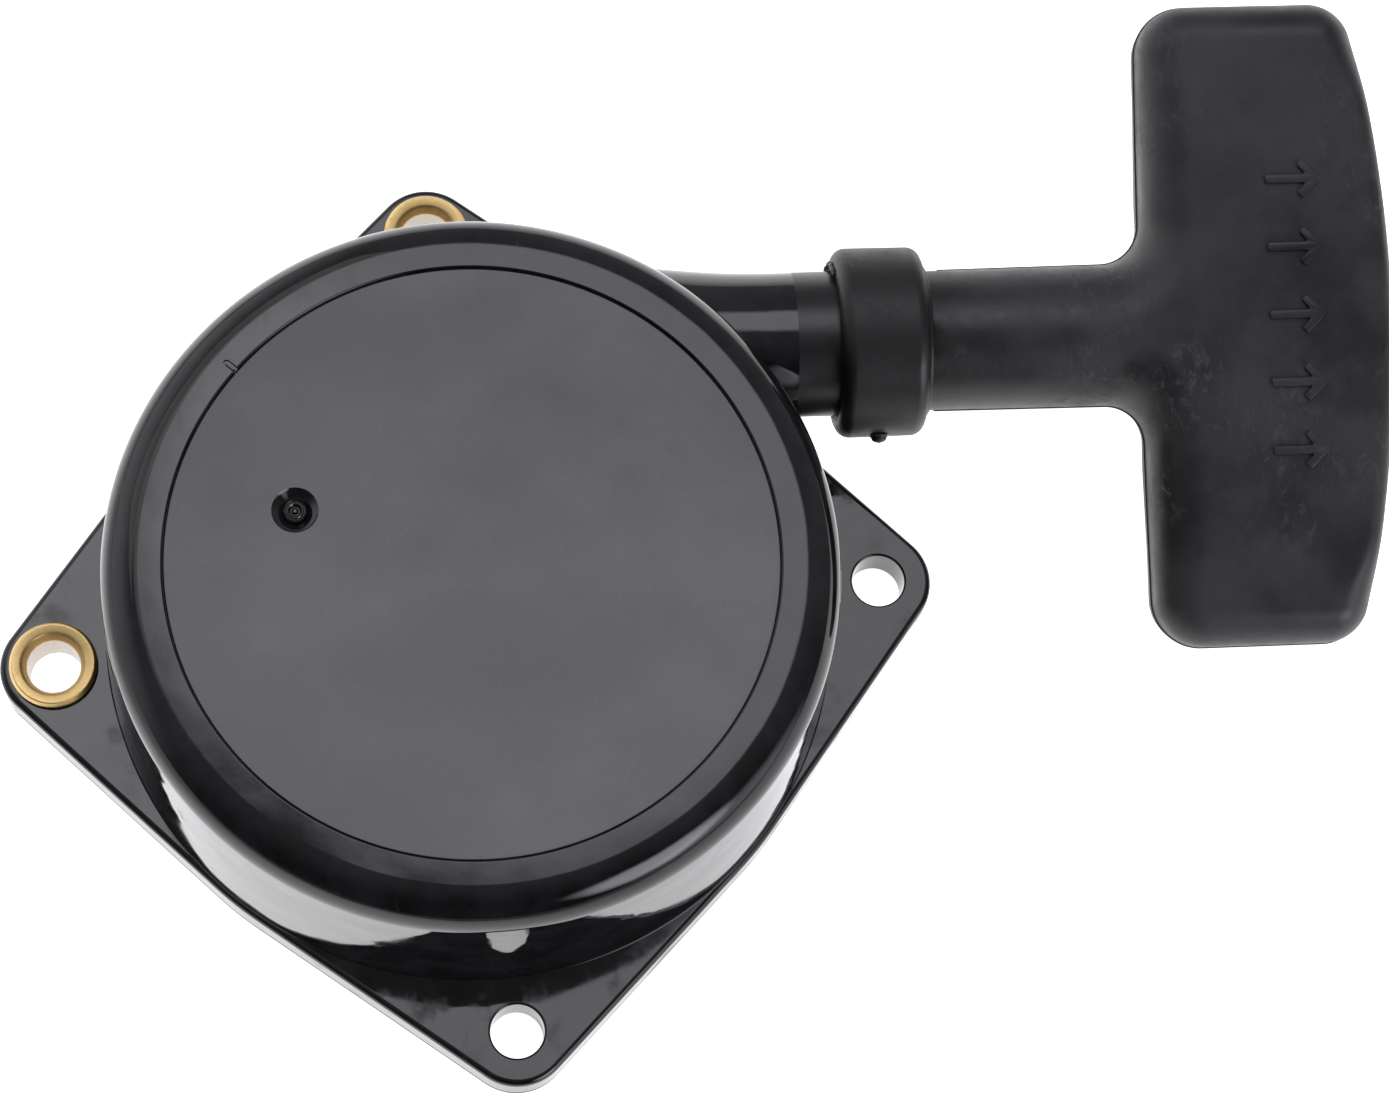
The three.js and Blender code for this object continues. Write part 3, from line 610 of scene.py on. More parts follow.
def metal(name, dark, light, low, high, stretch=(1.0, 1.0, 1.0), grain=1.6, depth=0.006):
    """A bare or plated metal: clouded colour, streaked roughness, a fine surface grain."""
    look = Surface(name, Metallic=1.0, Roughness=high)
    cloud = look.noise(0.25, 4, 0.6)
    streak = look.noise(grain, 4, 0.7, look.stretched(stretch))
    look.colour(look.mix(cloud, dark, light))
    look.rough(look.spread(streak, 0.3, 0.7, low, high))
    look.raise_by(streak, depth, 0.6)
    return look.material


def reel_nylon():
    look = Surface("reel_nylon", Roughness=0.5)
    cloud = look.noise(0.12, 4, 0.6)
    fibre = look.noise(2.4, 3, 0.7, look.stretched((1.0, 0.35, 1.0)))
    base = look.mix(cloud, rgb(0.016, 0.017, 0.018), rgb(0.03, 0.031, 0.033))
    look.colour(look.mix(look.spread(fibre, 0.62, 0.75), base, rgb(0.07, 0.07, 0.07)))
    look.rough(look.spread(fibre, 0.3, 0.7, 0.36, 0.52))
    look.raise_by(fibre, 0.02, 0.5)
    return look.material


def rope_braid():
    """A diamond braid with a dark tracer. It reads the run and around attributes of its mesh."""
    look = Surface("rope", Roughness=0.85)
    run = look.node("ShaderNodeAttribute", attribute_name="run").outputs["Fac"]
    around = look.node("ShaderNodeAttribute", attribute_name="around").outputs["Fac"]
    lines = []
    for hand in (1.0, -1.0):
        pitch = look.times(run, 2.2)
        lean = look.maths("MULTIPLY_ADD", around, 8.0 * hand, pitch)
        lines.append(look.maths("SINE", lean))
    weave = look.most(*lines)
    strand = look.spread(weave, 0.1, 0.95)
    fibre = look.noise(3.0, 3, 0.7)
    base = look.mix(fibre, rgb(0.50, 0.49, 0.45), rgb(0.74, 0.73, 0.68))
    shaded = look.mix(strand, rgb(0.16, 0.155, 0.14), base)
    tracer = look.maths("SINE", look.maths("SUBTRACT", look.times(run, 0.55), around))
    look.colour(look.mix(look.spread(tracer, 0.93, 0.97), shaded, rgb(0.03, 0.03, 0.035)))
    look.rough(look.spread(fibre, 0.2, 0.8, 0.75, 0.95))
    look.raise_by(strand, 0.16, 0.9)
    look.raise_by(fibre, 0.03, 0.6)
    return look.material


def floor_paper():
    """White paper with painted light: it glows by the starter, and its glow and colour fall off round it,
    most towards the camera, with painted shade on the near side of the tube and handle.
    """
    look = Surface("floor_paper", Roughness=0.7)
    across, deep = look.axes()[:2]
    left = look.spread(across, -0.16, -0.068, 0.45, 1.0)
    near = look.spread(deep, -0.30, -0.105, 0.12, 1.0)
    beside = look.spread(deep, -0.04, 0.0, 0.38, 0.0)
    # Painted shade: the floor is darker on the near side of the tube and handle
    painted_shade_right = look.maths("SUBTRACT", 1.0, look.times(look.spread(across, -0.01, 0.05), beside))
    behind = look.spread(deep, 0.09, 0.3, 1.0, 0.5)
    lit = look.times(look.times(left, near), look.times(painted_shade_right, behind))
    fibre = look.noise(0.2, 3)
    paper = look.mix(fibre, rgb(0.88, 0.88, 0.885), rgb(0.92, 0.92, 0.92))
    # Painted shade and light: the paper is painted grey where lit is low and glows where it is high
    look.colour(look.mix(look.spread(lit, 0.0, 0.7), rgb(0.25, 0.25, 0.25), paper))
    look.join("Emission Strength", look.times(lit, 1.15))
    look.shader.inputs["Emission Color"].default_value = rgb(1, 1, 1)
    return look


HOUSING = housing_plastic()
DISC = disc_satin()
RUBBER = handle_rubber()
BRASS = brass("grommet_brass")
BUSH = brass("bush_brass", 0.05)
GUIDE_STEEL = metal("guide_steel", rgb(0.30, 0.30, 0.31), rgb(0.44, 0.44, 0.45), 0.2, 0.36)
PLATED = metal("plated_steel", rgb(0.50, 0.51, 0.52), rgb(0.68, 0.68, 0.67), 0.2, 0.42)
CASE_STEEL = metal(
    "case_steel", rgb(0.40, 0.41, 0.42), rgb(0.55, 0.55, 0.55), 0.25, 0.45, (1.0, 0.1, 1.0)
)
SPRING = metal("spring_steel", rgb(0.10, 0.115, 0.14), rgb(0.22, 0.23, 0.25), 0.2, 0.4)
PAWL_STEEL = metal("pawl_steel", rgb(0.24, 0.24, 0.245), rgb(0.38, 0.375, 0.37), 0.28, 0.5)
NYLON = reel_nylon()
ROPE = rope_braid()


# ---- Housing ----


def flange():
    """Four round ears joined by straight sides, with a rounded top edge and a parting groove."""
    lean = math.acos((FLANGE_RIM - FLANGE_EAR) / HOLE_CIRCLE)
    outline, outward = [], []
    for quarter in range(4):
        heading = math.radians(PATTERN_TURN + 90 * quarter)
        ear = HOLE_CIRCLE * np.array((math.cos(heading), math.sin(heading)))
        turns = [(ear, FLANGE_EAR, angle) for angle in np.linspace(-lean, lean, 25)]
        sweep = np.linspace(lean, math.pi / 2 - lean, 9)
        turns += [(np.zeros(2), FLANGE_RIM, angle) for angle in sweep]
        for centre, radius, angle in turns:
            side = np.array((math.cos(heading + angle), math.sin(heading + angle)))
            outline.append(centre + radius * side)
            outward.append(side)
    outline, outward = np.array(outline), np.array(outward)
    flat, groove = 3.0, 0.22
    edge = [
        (flat, 0, 0), (0, 0, 0.3), (0, 0.7, 0.08), (groove, 0.9, 0.05), (0, 1.1, 0.08),
        (0, FLANGE_TOP, FLANGE_EDGE), (flat, FLANGE_TOP, 0),
    ]
    rings = []
    for inset, height in rounded(edge, 6, False):
        rings.append([(x, y, height) for x, y in outline - outward * inset])
    points, rings = stacked(rings)
    faces = ring_strip(rings, len(outline), False) + [tuple(rings[0]), tuple(rings[-1])]
    body = build("housing", points, faces)
    for quarter in range(4):
        radius = GROMMET_SLEEVE + 0.3 if quarter in SLEEVED else HOLE_RADIUS
        cut(body, hole_cutter(radius, polar(HOLE_CIRCLE, PATTERN_TURN + 90 * quarter)))
    return body


def hole_cutter(radius, place):
    """Cuts a hole through the flange and rounds its rims."""
    rim = 0.3
    profile = [(0, -1), (radius + rim, -1)]
    bend = np.radians(np.linspace(0, 90, 6))
    bend = [(radius + rim * (1 - math.sin(a)), rim * (1 - math.cos(a))) for a in bend]
    profile += bend + [(across, FLANGE_TOP - inset) for across, inset in bend[::-1]]
    profile += [(radius + rim, FLANGE_TOP + 1), (0, FLANGE_TOP + 1)]
    return turned("hole", profile, 64, place=(*place, 0))


def drum():
    root = 0.25
    corners = [
        (0, 3, 0), (DRUM_ROOT + root, 3, 0), (DRUM_ROOT + root, FLANGE_TOP - 0.05, 0),
        (DRUM_ROOT, FLANGE_TOP, root), (DRUM_SHOULDER, DRUM_TOP - RING_FALL, SHOULDER_FILLET),
        (DISC_RADIUS, DRUM_TOP - 0.01, 0.22), (DISC_RADIUS - 0.03, DISC_Z - 0.14, 0.03),
        (DISC_RADIUS - 0.22, DISC_Z, 0.2), (0, DISC_Z, 0),
    ]
    return lathe("drum", corners, 14, RULED)


def gate_mark():
    """The dimple left where the moulding was fed, with its sheared stub, as cutter and stub."""
    place = (*GATE_PLACE, 0)
    bowl = [
        (0, DISC_Z - 1.0, 0), (1.3, DISC_Z - 1.0, 0.3), (2.6, DISC_Z - 0.14, 0.4),
        (GATE_RADIUS - 0.02, DISC_Z + 0.02, 0.1), (GATE_RADIUS, DISC_Z + 1, 0), (0, DISC_Z + 1, 0),
    ]
    stub = [
        (0, DISC_Z - 2, 0), (1.42, DISC_Z - 2, 0), (1.32, DISC_Z - 0.1, 0.06),
        (1.1, DISC_Z - 0.45, 0.05), (0.88, DISC_Z - 0.1, 0.06), (0.5, DISC_Z - 0.7, 0.1),
        (0.2, DISC_Z - 0.35, 0.05), (0, DISC_Z - 0.4, 0),
    ]
    cutter = lathe("gate_bowl", bowl, 5, 64, place=place)
    return cutter, lathe("gate_stub", stub, 3, 64, place=place)


def outlet_tube():
    corners = [
        (0, 18, 0), (TUBE_ROOT_RADIUS, 18, 0), (TUBE_END_RADIUS, TUBE_TAPER_END, 90),
        (TUBE_END_RADIUS, TUBE_END, 0.7), (0, TUBE_END, 0),
    ]
    return lathe("tube", corners, 8, 128, "X", ROPE_LINE)


def cavity():
    mouth = CAVITY_RADIUS + 0.5
    corners = [(0, -1, 0), (mouth, -1, 0), (mouth, 0, 0.1), (CAVITY_RADIUS, 0.5, 0.1)]
    corners += [(CAVITY_RADIUS - 0.6, CEILING, 2.2), (0, CEILING, 0)]
    return lathe("cavity", corners, 8, RULED)


def centre_post():
    corners = [
        (4.7, 7.9, 0.2), (6.6, 7.9, 0.3), (6.6, CEILING - 0.2, 1.2), (9.0, CEILING + 0.5, 0),
        (3.2, CEILING + 0.5, 0), (3.2, 20.2, 0), (4.7, 20.2, 0),
    ]
    return lathe("post", corners, 4, ROUND)


def dash(half_width, low):
    """A short radial bar with round ends just outside the disc's edge."""
    start, end = DISC_RADIUS + 0.3, DISC_RADIUS + 1.4
    far = [np.array((end, 0)) + polar(half_width, a) for a in range(-90, 91, 15)]
    near = [np.array((start, 0)) + polar(half_width, a) for a in range(90, 271, 15)]
    return move(prism("dash", far + near, low, DRUM_TOP + 1), spin(TICK_TURN))


def make_housing():
    body = flange()
    add(body, drum())
    add(body, outlet_tube())
    cut(body, cavity())
    cut(body, lathe("bore", band(0, TUBE_BORE, 22, TUBE_END + 1), 3, 64, "X", ROPE_LINE))
    add(body, centre_post())
    for quarter in range(4):
        section = rounded(band(32.3, 34.1, -2.5, 2.5, 0.4, 0.4), 3)
        rib = prism("rib", section, CEILING - 4, CEILING + 0.5)
        add(body, move(rib, spin(90 * quarter + 45)))
    cutter, stub = gate_mark()
    cut(body, cutter)
    add(body, stub)
    cut(body, dash(0.42, DRUM_TOP - 0.38))
    island = dash(0.18, DRUM_TOP - 0.7)
    lid = prism("lid", circle(5, 24, polar(37, TICK_TURN)), DRUM_TOP - 0.03, DRUM_TOP + 2)
    add(body, cut(island, lid))
    body.data.materials.clear()
    body.data.materials.append(HOUSING)
    body.data.materials.append(DISC)
    for face in body.data.polygons:
        centre = face.center / MM
        on_disc = centre.z > DISC_Z - 0.05 and centre.xy.length < DISC_RADIUS - 0.2
        by_gate = (centre.xy - Vector(GATE_PLACE)).length < GATE_RADIUS + 0.05
        bowl = by_gate and centre.z < DISC_Z - 0.003
        face.material_index = int(on_disc and face.normal.z > 0.9 and not bowl)
    finish_piece(body, None, "housing", ["housing"], 30)
    for face in body.data.polygons:
        face.use_smooth = face.material_index == 0


# ---- Small fixed pieces ----


def make_grommets():
    seat = FLANGE_TOP + 0.1
    top = FLANGE_TOP + 1.4
    for quarter, node in SLEEVED.items():
        place = (*polar(HOLE_CIRCLE, PATTERN_TURN + 90 * quarter), 0)
        corners = [
            (HOLE_RADIUS, 0.2, 0.15), (GROMMET_SLEEVE, 0.2, 0.15), (GROMMET_SLEEVE, seat, 0),
            (GROMMET_LIP - 0.1, seat, 0.1), (GROMMET_LIP, seat + 0.65, 0.25),
            (GROMMET_LIP - 0.35, top, 0.25), (HOLE_RADIUS + 0.6, top - 0.28, 0.6),
            (HOLE_RADIUS, top - 1.5, 0.9),
        ]
        turned_piece(node + "_sleeve", node, BRASS, "grommet_brass", corners, 5, place=place)


def make_rope_guide():
    sleeve = TUBE_BORE - 0.3
    corners = [
        (2.9, 37, 1.2), (sleeve, 37, 0.2), (sleeve, TUBE_END + 0.2, 0.05),
        (7.4, TUBE_END + 0.2, 0.15), (7.4, TUBE_END + 1.2, 0.3), (2.9, TUBE_END + 1.2, 1.1),
    ]
    shape = (corners, 6, ROUND, "X", ROPE_LINE)
    turned_piece("outlet_ferrule", "rope_guide", GUIDE_STEEL, "guide_steel", *shape)


def make_post_insert():
    low, high = extent("post_insert")
    corners = band(3.2, 4.3, low[2], high[2], 0.3, 0.3)
    turned_piece("threaded_insert", "post_insert", BUSH, "grommet_brass", corners, 3, SMALL)


def make_centre_screw():
    across_flats = 10
    head = [polar(across_flats / math.sqrt(3), 60 * side) for side in range(6)]
    body = soften(prism("shaft_screw", head, 0.5, 4.2), 0.35, 3)
    dome = [(0, 0.4, 0), (5.0, 0.4, 0.2), (6.4, 1.6, 0), (6.4, 5, 0), (0, 5, 0)]
    crown = lathe("crown", dome, 4, ROUND)
    combine(body, crown, "INTERSECT")
    shank = [(0, 4, 0), (6.4, 4.1, 0.15), (6.5, 4.95, 0.15), (2.9, 5.0, 0), (2.9, 20.7, 0.2)]
    shank += [(2.1, 21.5, 0.1), (0, 21.5, 0)]
    add(body, lathe("shank", shank, 3, SMALL))
    finish_piece(body, PLATED, "housing", ["centre_screw"], 30)


def make_washer_and_bush():
    corners = band(3.2, 7.2, 7.0, 7.7, 0.1, 0.15)
    turned_piece("shaft_washer", "thrust_washer", PLATED, "plated_steel", corners, 3, SMALL)
    low, high = extent("reel_bush")
    corners = band(6.9, 8.4, low[2], high[2], 0.3, 0.3)
    turned_piece("reel_bearing", "reel_bush", BUSH, "grommet_brass", corners, 3)


# ---- Rewind spring ----


def make_spring_case():
    low, high = extent("spring_case")
    sheet = 0.8
    outer = 32.0
    corners = [
        (7.2, high[2] - sheet, 0.1), (outer - sheet, high[2] - sheet, 0.6),
        (outer - sheet, low[2], 0.15), (outer, low[2], 0.15), (outer, high[2], 1.2),
        (7.2, high[2], 0.1),
    ]
    turned_piece("spring_cup", "spring_case", CASE_STEEL, "plated_steel", corners, 5, 160)
    low, high = extent("spring_cover")
    corners = band(11.2, high[0], low[2], high[2], 0.1, 0.1)
    turned_piece("spring_lid", "spring_cover", CASE_STEEL, "plated_steel", corners, 3, 160)


def make_power_spring():
    """A flat strip wound seven times."""
    low, high = extent("power_spring")
    turns, per_turn, sheet = 7, 72, 0.6
    inner, outer = 11.6, 30.4
    steps = turns * per_turn
    points, faces = [], []
    for step in range(steps + 1):
        radius = inner + (outer - inner) * step / steps
        for offset, height in ((-1, low[2]), (1, low[2]), (1, high[2]), (-1, high[2])):
            x, y = polar(radius + offset * sheet / 2, 360 * step / per_turn)
            points.append((x, y, height))
    for step in range(steps):
        for side in range(4):
            ahead = (side + 1) % 4
            here = 4 * step
            faces.append((here + side, here + ahead, here + 4 + ahead, here + 4 + side))
    faces += [(0, 1, 2, 3), (4 * steps, 4 * steps + 1, 4 * steps + 2, 4 * steps + 3)]
    strip = soften(build("rewind_strip", points, faces), 0.12, 2)
    finish_piece(strip, SPRING, "housing", ["power_spring"], 40, False)


# ---- Reel and rope ----


def make_reel():
    corners = [
        (REEL_BORE, REEL_BACK + 1.4, 0.2), (11.4, REEL_BACK + 1.4, 0.2), (11.4, REEL_BACK, 0.3),
        (REEL_RADIUS, REEL_BACK, 0.4), (REEL_RADIUS, GROOVE_LOW - 0.4, 0.5),
        (GROOVE_RADIUS, GROOVE_LOW, 0.6), (GROOVE_RADIUS, GROOVE_HIGH, 0.6),
        (REEL_RADIUS, GROOVE_HIGH + 0.4, 0.5), (REEL_RADIUS, REEL_FRONT, 0.4),
        (DISH_OUTER, REEL_FRONT, 0.3), (DISH_OUTER, DISH_FLOOR, 0.8), (DISH_INNER, DISH_FLOOR, 0.8),
        (DISH_INNER, REEL_FRONT, 0.3), (HUB_RADIUS, REEL_FRONT, 0.5), (HUB_RADIUS, HUB_END, 0.3),
        (REEL_BORE, HUB_END, 0.3),
    ]
    body = lathe("rope_reel", corners, 4, 192)
    # Shallow pockets between ribs lighten the back cheek's rim
    for pocket in range(12):
        middle = 15 + 30 * pocket
        inner = [polar(27.0, middle + step) for step in np.linspace(-10.5, 10.5, 8)]
        outer = [polar(34.6, middle + step) for step in np.linspace(11.5, -11.5, 10)]
        cut(body, prism("pocket", inner + outer, REEL_BACK - 1, REEL_BACK + 0.7))
    for side in (1, -1):
        hole = prism("pin_hole", circle(2.1, 40, (side * PAWL_PIVOT, 0)), REEL_BACK - 1, 14.9)
        cut(body, hole)
    rope_hole = lathe("rope_hole", band(0, 2.15, 19, 23), 1, 40, "X", (0, 0, ANCHOR_Z))
    cut(body, move(rope_hole, spin(ANCHOR_TURN)))
    finish_piece(body, NYLON, "reel", ["reel"], 30)


def braid(thing, path):
    """Stores how far along and around the rope each point of a swept tube lies, for the braid."""
    path = np.asarray(path, float)
    steps = np.linalg.norm(np.diff(path, axis=0), axis=1)
    along = np.concatenate(([0.0], np.cumsum(steps)))
    mesh = thing.data
    points = points_of(mesh)
    nearest = np.array([np.argmin(((path - p) ** 2).sum(1)) for p in points])
    ahead = unit(np.gradient(path, axis=0))
    reference = np.cross(ahead, (0.0, 0.0, 1.0))
    reference[np.linalg.norm(reference, axis=1) < 1e-3] = (0.0, 1.0, 0.0)
    reference = unit(reference)
    offset = points - path[nearest]
    side = np.cross(ahead, reference)
    angle = np.arctan2((offset * side[nearest]).sum(1), (offset * reference[nearest]).sum(1))
    run = along[nearest] + (offset * ahead[nearest]).sum(1)
    for name, values in (("run", run), ("around", angle)):
        layer = mesh.attributes.new(name, "FLOAT", "POINT")
        layer.data.foreach_set("value", values.astype(np.float32))
    return thing


def rope_piece(name, path, radius, body, nodes, sides=14):
    rope = braid(swept(name, path, radius, sides), path)
    return finish_piece(rope, ROPE, body, nodes, 60, False)


def make_rope_coil():
    """The wound rope: three layers of two turns, each turn crossing over to the next."""
    layers, turns = 3, 2
    inner = GROOVE_RADIUS + 0.25 + ROPE_RADIUS
    rise = (ROPE_Y - inner) / (layers - 1)
    offset = 1.8
    path = []
    total = layers * turns
    per_turn = 72
    for step in range(total * per_turn + 1):
        turn = step / per_turn
        index = min(int(turn), total - 1)
        share = turn - index
        layer = index // turns
        sign = -1 if (index + layer) % 2 == 0 else 1
        cross = ease(share, 0.8, 1.0)
        ahead = min(index + 1, total - 1)
        next_sign = -1 if (ahead + ahead // turns) % 2 == 0 else 1
        radius = inner + rise * (layer + (ahead // turns - layer) * cross)
        height = ROPE_Z + offset * (sign + (next_sign - sign) * cross)
        if index == total - 1:
            height = ROPE_Z + offset * sign * (1 - cross)
        angle = 90 - 360 * (turn - total)
        path.append((*polar(radius, angle), height))
    rope_piece("wound_rope", path, ROPE_RADIUS - 0.03, "reel", ["rope_coil"])


def knot_path(size, turns=2):
    """A compact knot on the X axis: two turns that wrap over each other."""
    path = []
    for step in range(61):
        share = step / 60
        angle = 2 * math.pi * turns * share
        ring = size * (0.62 + 0.16 * math.cos(1.5 * angle))
        along = size * 0.62 * math.sin(1.5 * angle)
        path.append((along, ring * math.cos(angle), ring * math.sin(angle)))
    return path


def make_knot(name, node, size, centre, turn, body):
    path = [tuple(turn @ Vector(p) + Vector(centre)) for p in knot_path(size)]
    rope_piece(name, path, ROPE_RADIUS - 0.1, body, [node])


def make_anchor_knot():
    spoke = spin(ANCHOR_TURN)
    centre = spoke @ Vector((15.9, 0, ANCHOR_Z))
    make_knot("anchor_knot", "rope_anchor_knot", 2.6, centre, spoke, "reel")
    path = [tuple(spoke @ Vector((x, 0, ANCHOR_Z))) for x in np.linspace(16.5, 22.4, 8)]
    rope_piece("anchor_tail", path, ROPE_RADIUS - 0.05, "reel", [])


ROPE_TRAVEL = 700.0


def make_rope_run():
    """The straight rope. It stretches evenly between the housing and the handle when pulled."""
    spans = ((0.5, 16, 12), (16.5, 50, 120), (50.5, ROPE_HIGH[0], 40))
    path = [(x, ROPE_Y, ROPE_Z) for x in np.concatenate([np.linspace(*span) for span in spans])]
    rope = rope_piece("pull_rope", path, ROPE_RADIUS, None, ["rope_run"], 20)
    start, end = (tuple(part * MM for part in (x, ROPE_Y, ROPE_Z)) for x in (17.0, 50.0))
    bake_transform(rope, "housing", "rope_end", start, end)
    mesh = rope.data
    weight = np.empty(len(mesh.vertices), np.float32)
    mesh.attributes["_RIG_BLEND"].data.foreach_get("value", weight)
    run = np.empty(len(mesh.vertices), np.float32)
    mesh.attributes["run"].data.foreach_get("value", run)
    mesh.attributes["run"].data.foreach_set("value", run + weight * ROPE_TRAVEL)


# ---- Pawls, guide plate and friction spring ----


def belt(end, start_radius, end_radius):
    """Outline round a circle at the origin and one at end."""
    end = np.array(end, float)
    heading = math.degrees(math.atan2(end[1], end[0]))
    lean = math.degrees(math.acos((start_radius - end_radius) / np.linalg.norm(end)))
    far = [end + polar(end_radius, heading + a) for a in np.linspace(-lean, lean, 20)]
    near = [polar(start_radius, heading + a) for a in np.linspace(lean, 360 - lean, 36)]
    return far + near


PAWL_TIP = (-1.1, -16.4)
PEG = (-0.2, -7.0)


def make_pawls():
    for letter, turn in (("a", 0.0), ("b", 180.0)):
        station = spin(turn)
        pivot = station @ Vector((PAWL_PIVOT, 0, 0))
        arm = prism(f"pawl_arm_{letter}", belt(PAWL_TIP, 3.6, 1.7), 7.4, 11.9)
        cut(arm, prism("bore", circle(2.05, 40), 6, 13))
        soften(arm, 0.3, 3)
        peg = [(0, 4.9, 0), (1.3, 4.9, 0.25), (1.3, 8, 0), (0, 8, 0)]
        add(arm, lathe("peg", peg, 4, 32, place=(*PEG, 0)))
        move(arm, station, pivot)
        finish_piece(arm, PAWL_STEEL, f"pawl_{letter}", [f"pawl_{letter}"], 30)
        rod = band(0, 1.8, 7.3, 14.6, 0, 0.25)
        pin = lathe(f"pivot_pin_{letter}", rod, 4, SMALL, place=tuple(pivot))
        finish_piece(pin, PLATED, "reel", [f"pawl_pin_{letter}"], 45, False)


def peg_on_plate(share):
    """Where a pawl's peg is on the plate when the pawl has swung by a share of its range."""
    peg = Matrix.Rotation(math.radians(28 * share), 2) @ Vector(PEG) + Vector((PAWL_PIVOT, 0))
    return Matrix.Rotation(math.radians(-30 * share), 2) @ peg


def peg_slot(turn):
    reach = 1.65
    spin = Matrix.Rotation(turn, 2)
    places = [spin @ peg_on_plate(-0.04 + 1.08 * step / 10) for step in range(11)]
    headings = []
    for step in range(11):
        ahead = places[min(step + 1, 10)] - places[max(step - 1, 0)]
        headings.append(math.degrees(math.atan2(ahead.y, ahead.x)))
    points = []
    for side, order in ((-90, 1), (90, -1)):
        stops = list(zip(places, headings))[::order]
        stops = [(place, heading + side) for place, heading in stops]
        stops += [(stops[-1][0], stops[-1][1] + bend) for bend in range(15, 180, 15)]
        points += [np.array(place) + polar(reach, heading) for place, heading in stops]
    return points


def make_guide_plate():
    corners = []
    for turn in (0, 180):
        for angle in np.linspace(turn - 62, turn - 6, 14):
            corners.append((*polar(25.2, angle), 0.0 if 0 < angle - turn + 61.9 < 55.8 else 2.0))
        for angle in np.linspace(turn + 8, turn + 104, 14):
            corners.append((*polar(11, angle), 0.0))
    body = prism("pawl_guide", rounded(corners, 5), 5.2, 6.8)
    cut(body, prism("eye", circle(3.2), 4, 8))
    for turn in (0.0, math.pi):
        cut(body, prism("slot", peg_slot(turn), 4, 8))
    soften(body, 0.22, 3, 50)
    finish_piece(body, PLATED, "guide_plate", ["guide_plate"], 30)


def make_friction_spring():
    low, high = extent("friction_spring")
    wire = 0.5
    path = []
    for step in range(3 * 48 + 1):
        share = step / (3 * 48)
        height = low[2] + wire + (high[2] - low[2] - 2 * wire) * share
        path.append((*polar(9.95, 360 * 3 * share), height))
    coil = swept("friction_coil", path, wire, 12)
    finish_piece(coil, SPRING, "reel", ["friction_spring"], 60, False)


# ---- Handle ----
# Worked out in its own frame: x along the rope, y along the crossbar, z through its thickness.

BAR_HALF = 39.68
POCKET_FLOOR = 101.2  # where the rope's washer sits
BAR_SHIFT = 0.6
BAR_INNER, BAR_INNER_BOW = 84.1, 0.4
BAR_OUTER, BAR_OUTER_BOW = 114.58, 4.4
BAR_DEPTH, BAR_END_DEPTH = 8.8, 6.2
INNER_EDGE, PALM_EDGE = 5.7, 1.9  # rounding of the bar's long edges
COLLAR_START, COLLAR_END, COLLAR_RADIUS = 45.7, 56.5, 11.68
STEM_RADIUS = 8.6
FLARE = 4.8


def box_distance(x, y, half_x, half_y, corner):
    """Distance to a rectangle with rounded corners: less than zero inside."""
    out_x = np.abs(x) - half_x + corner
    out_y = np.abs(y) - half_y + corner
    outside = np.hypot(np.maximum(out_x, 0), np.maximum(out_y, 0))
    return np.minimum(np.maximum(out_x, out_y), 0) + outside - corner


def bar_outline(x, y, z):
    """The bowed crossbar's outline distance with its draft, its edge rounding and half depth."""
    y = y - BAR_SHIFT
    bow = np.minimum((y / BAR_HALF) ** 2, 1.3)
    inner = BAR_INNER + BAR_INNER_BOW * bow
    outer = BAR_OUTER - BAR_OUTER_BOW * bow
    middle, half = (inner + outer) / 2, (outer - inner) / 2
    corner = np.where(x < middle, 6.0, 4.3)
    outline = box_distance(x - middle, y, half, BAR_HALF, corner) + 0.05 * np.abs(z)
    edge = INNER_EDGE + (PALM_EDGE - INNER_EDGE) * ease(x, inner + 4, outer - 1)
    edge = edge + (4.2 - edge) * ease(np.abs(y), BAR_HALF - 14, BAR_HALF - 3)
    depth = BAR_DEPTH + (BAR_END_DEPTH - BAR_DEPTH) * bow - 0.35 * ((x - middle) / half) ** 2
    return outline, edge, depth


def grip_distance(points):
    """The round stem and the crossbar as one rounded slab, with fillets between them."""
    x, y, z = points.T
    girth = STEM_RADIUS + 0.006 * (x - 57)
    stem = np.maximum(np.abs(y) - girth, np.maximum(x - 100, 50.5 - x))
    bar, bar_edge, bar_depth = bar_outline(x, y, z)
    near = np.hypot(np.maximum(FLARE - stem, 0), np.maximum(FLARE - bar, 0))
    outline = np.maximum(FLARE, np.minimum(stem, bar)) - near
    share = 1 - (1 - ease(x, 80, 91)) * (1 - ease(np.abs(y), 9, 17))
    edge = girth + (bar_edge - girth) * share
    depth = girth + (bar_depth - girth) * share
    side, face = outline + edge, np.abs(z) - depth + edge
    outside = np.hypot(np.maximum(side, 0), np.maximum(face, 0))
    return np.minimum(np.maximum(side, face), 0) + outside - edge


def slope(field, points, step=0.02):
    """The gradient of a field at points."""
    sides = []
    for axis in range(3):
        shift = np.zeros(3)
        shift[axis] = step
        sides.append((field(points + shift) - field(points - shift)) / (2 * step))
    return np.stack(sides, axis=1)


def onto(field, points, rounds=6):
    """Moves points to the field's zero surface."""
    for _ in range(rounds):
        rise = slope(field, points)
        points = points - rise * (field(points) / np.maximum((rise**2).sum(1), 0.05))[:, None]
    return points


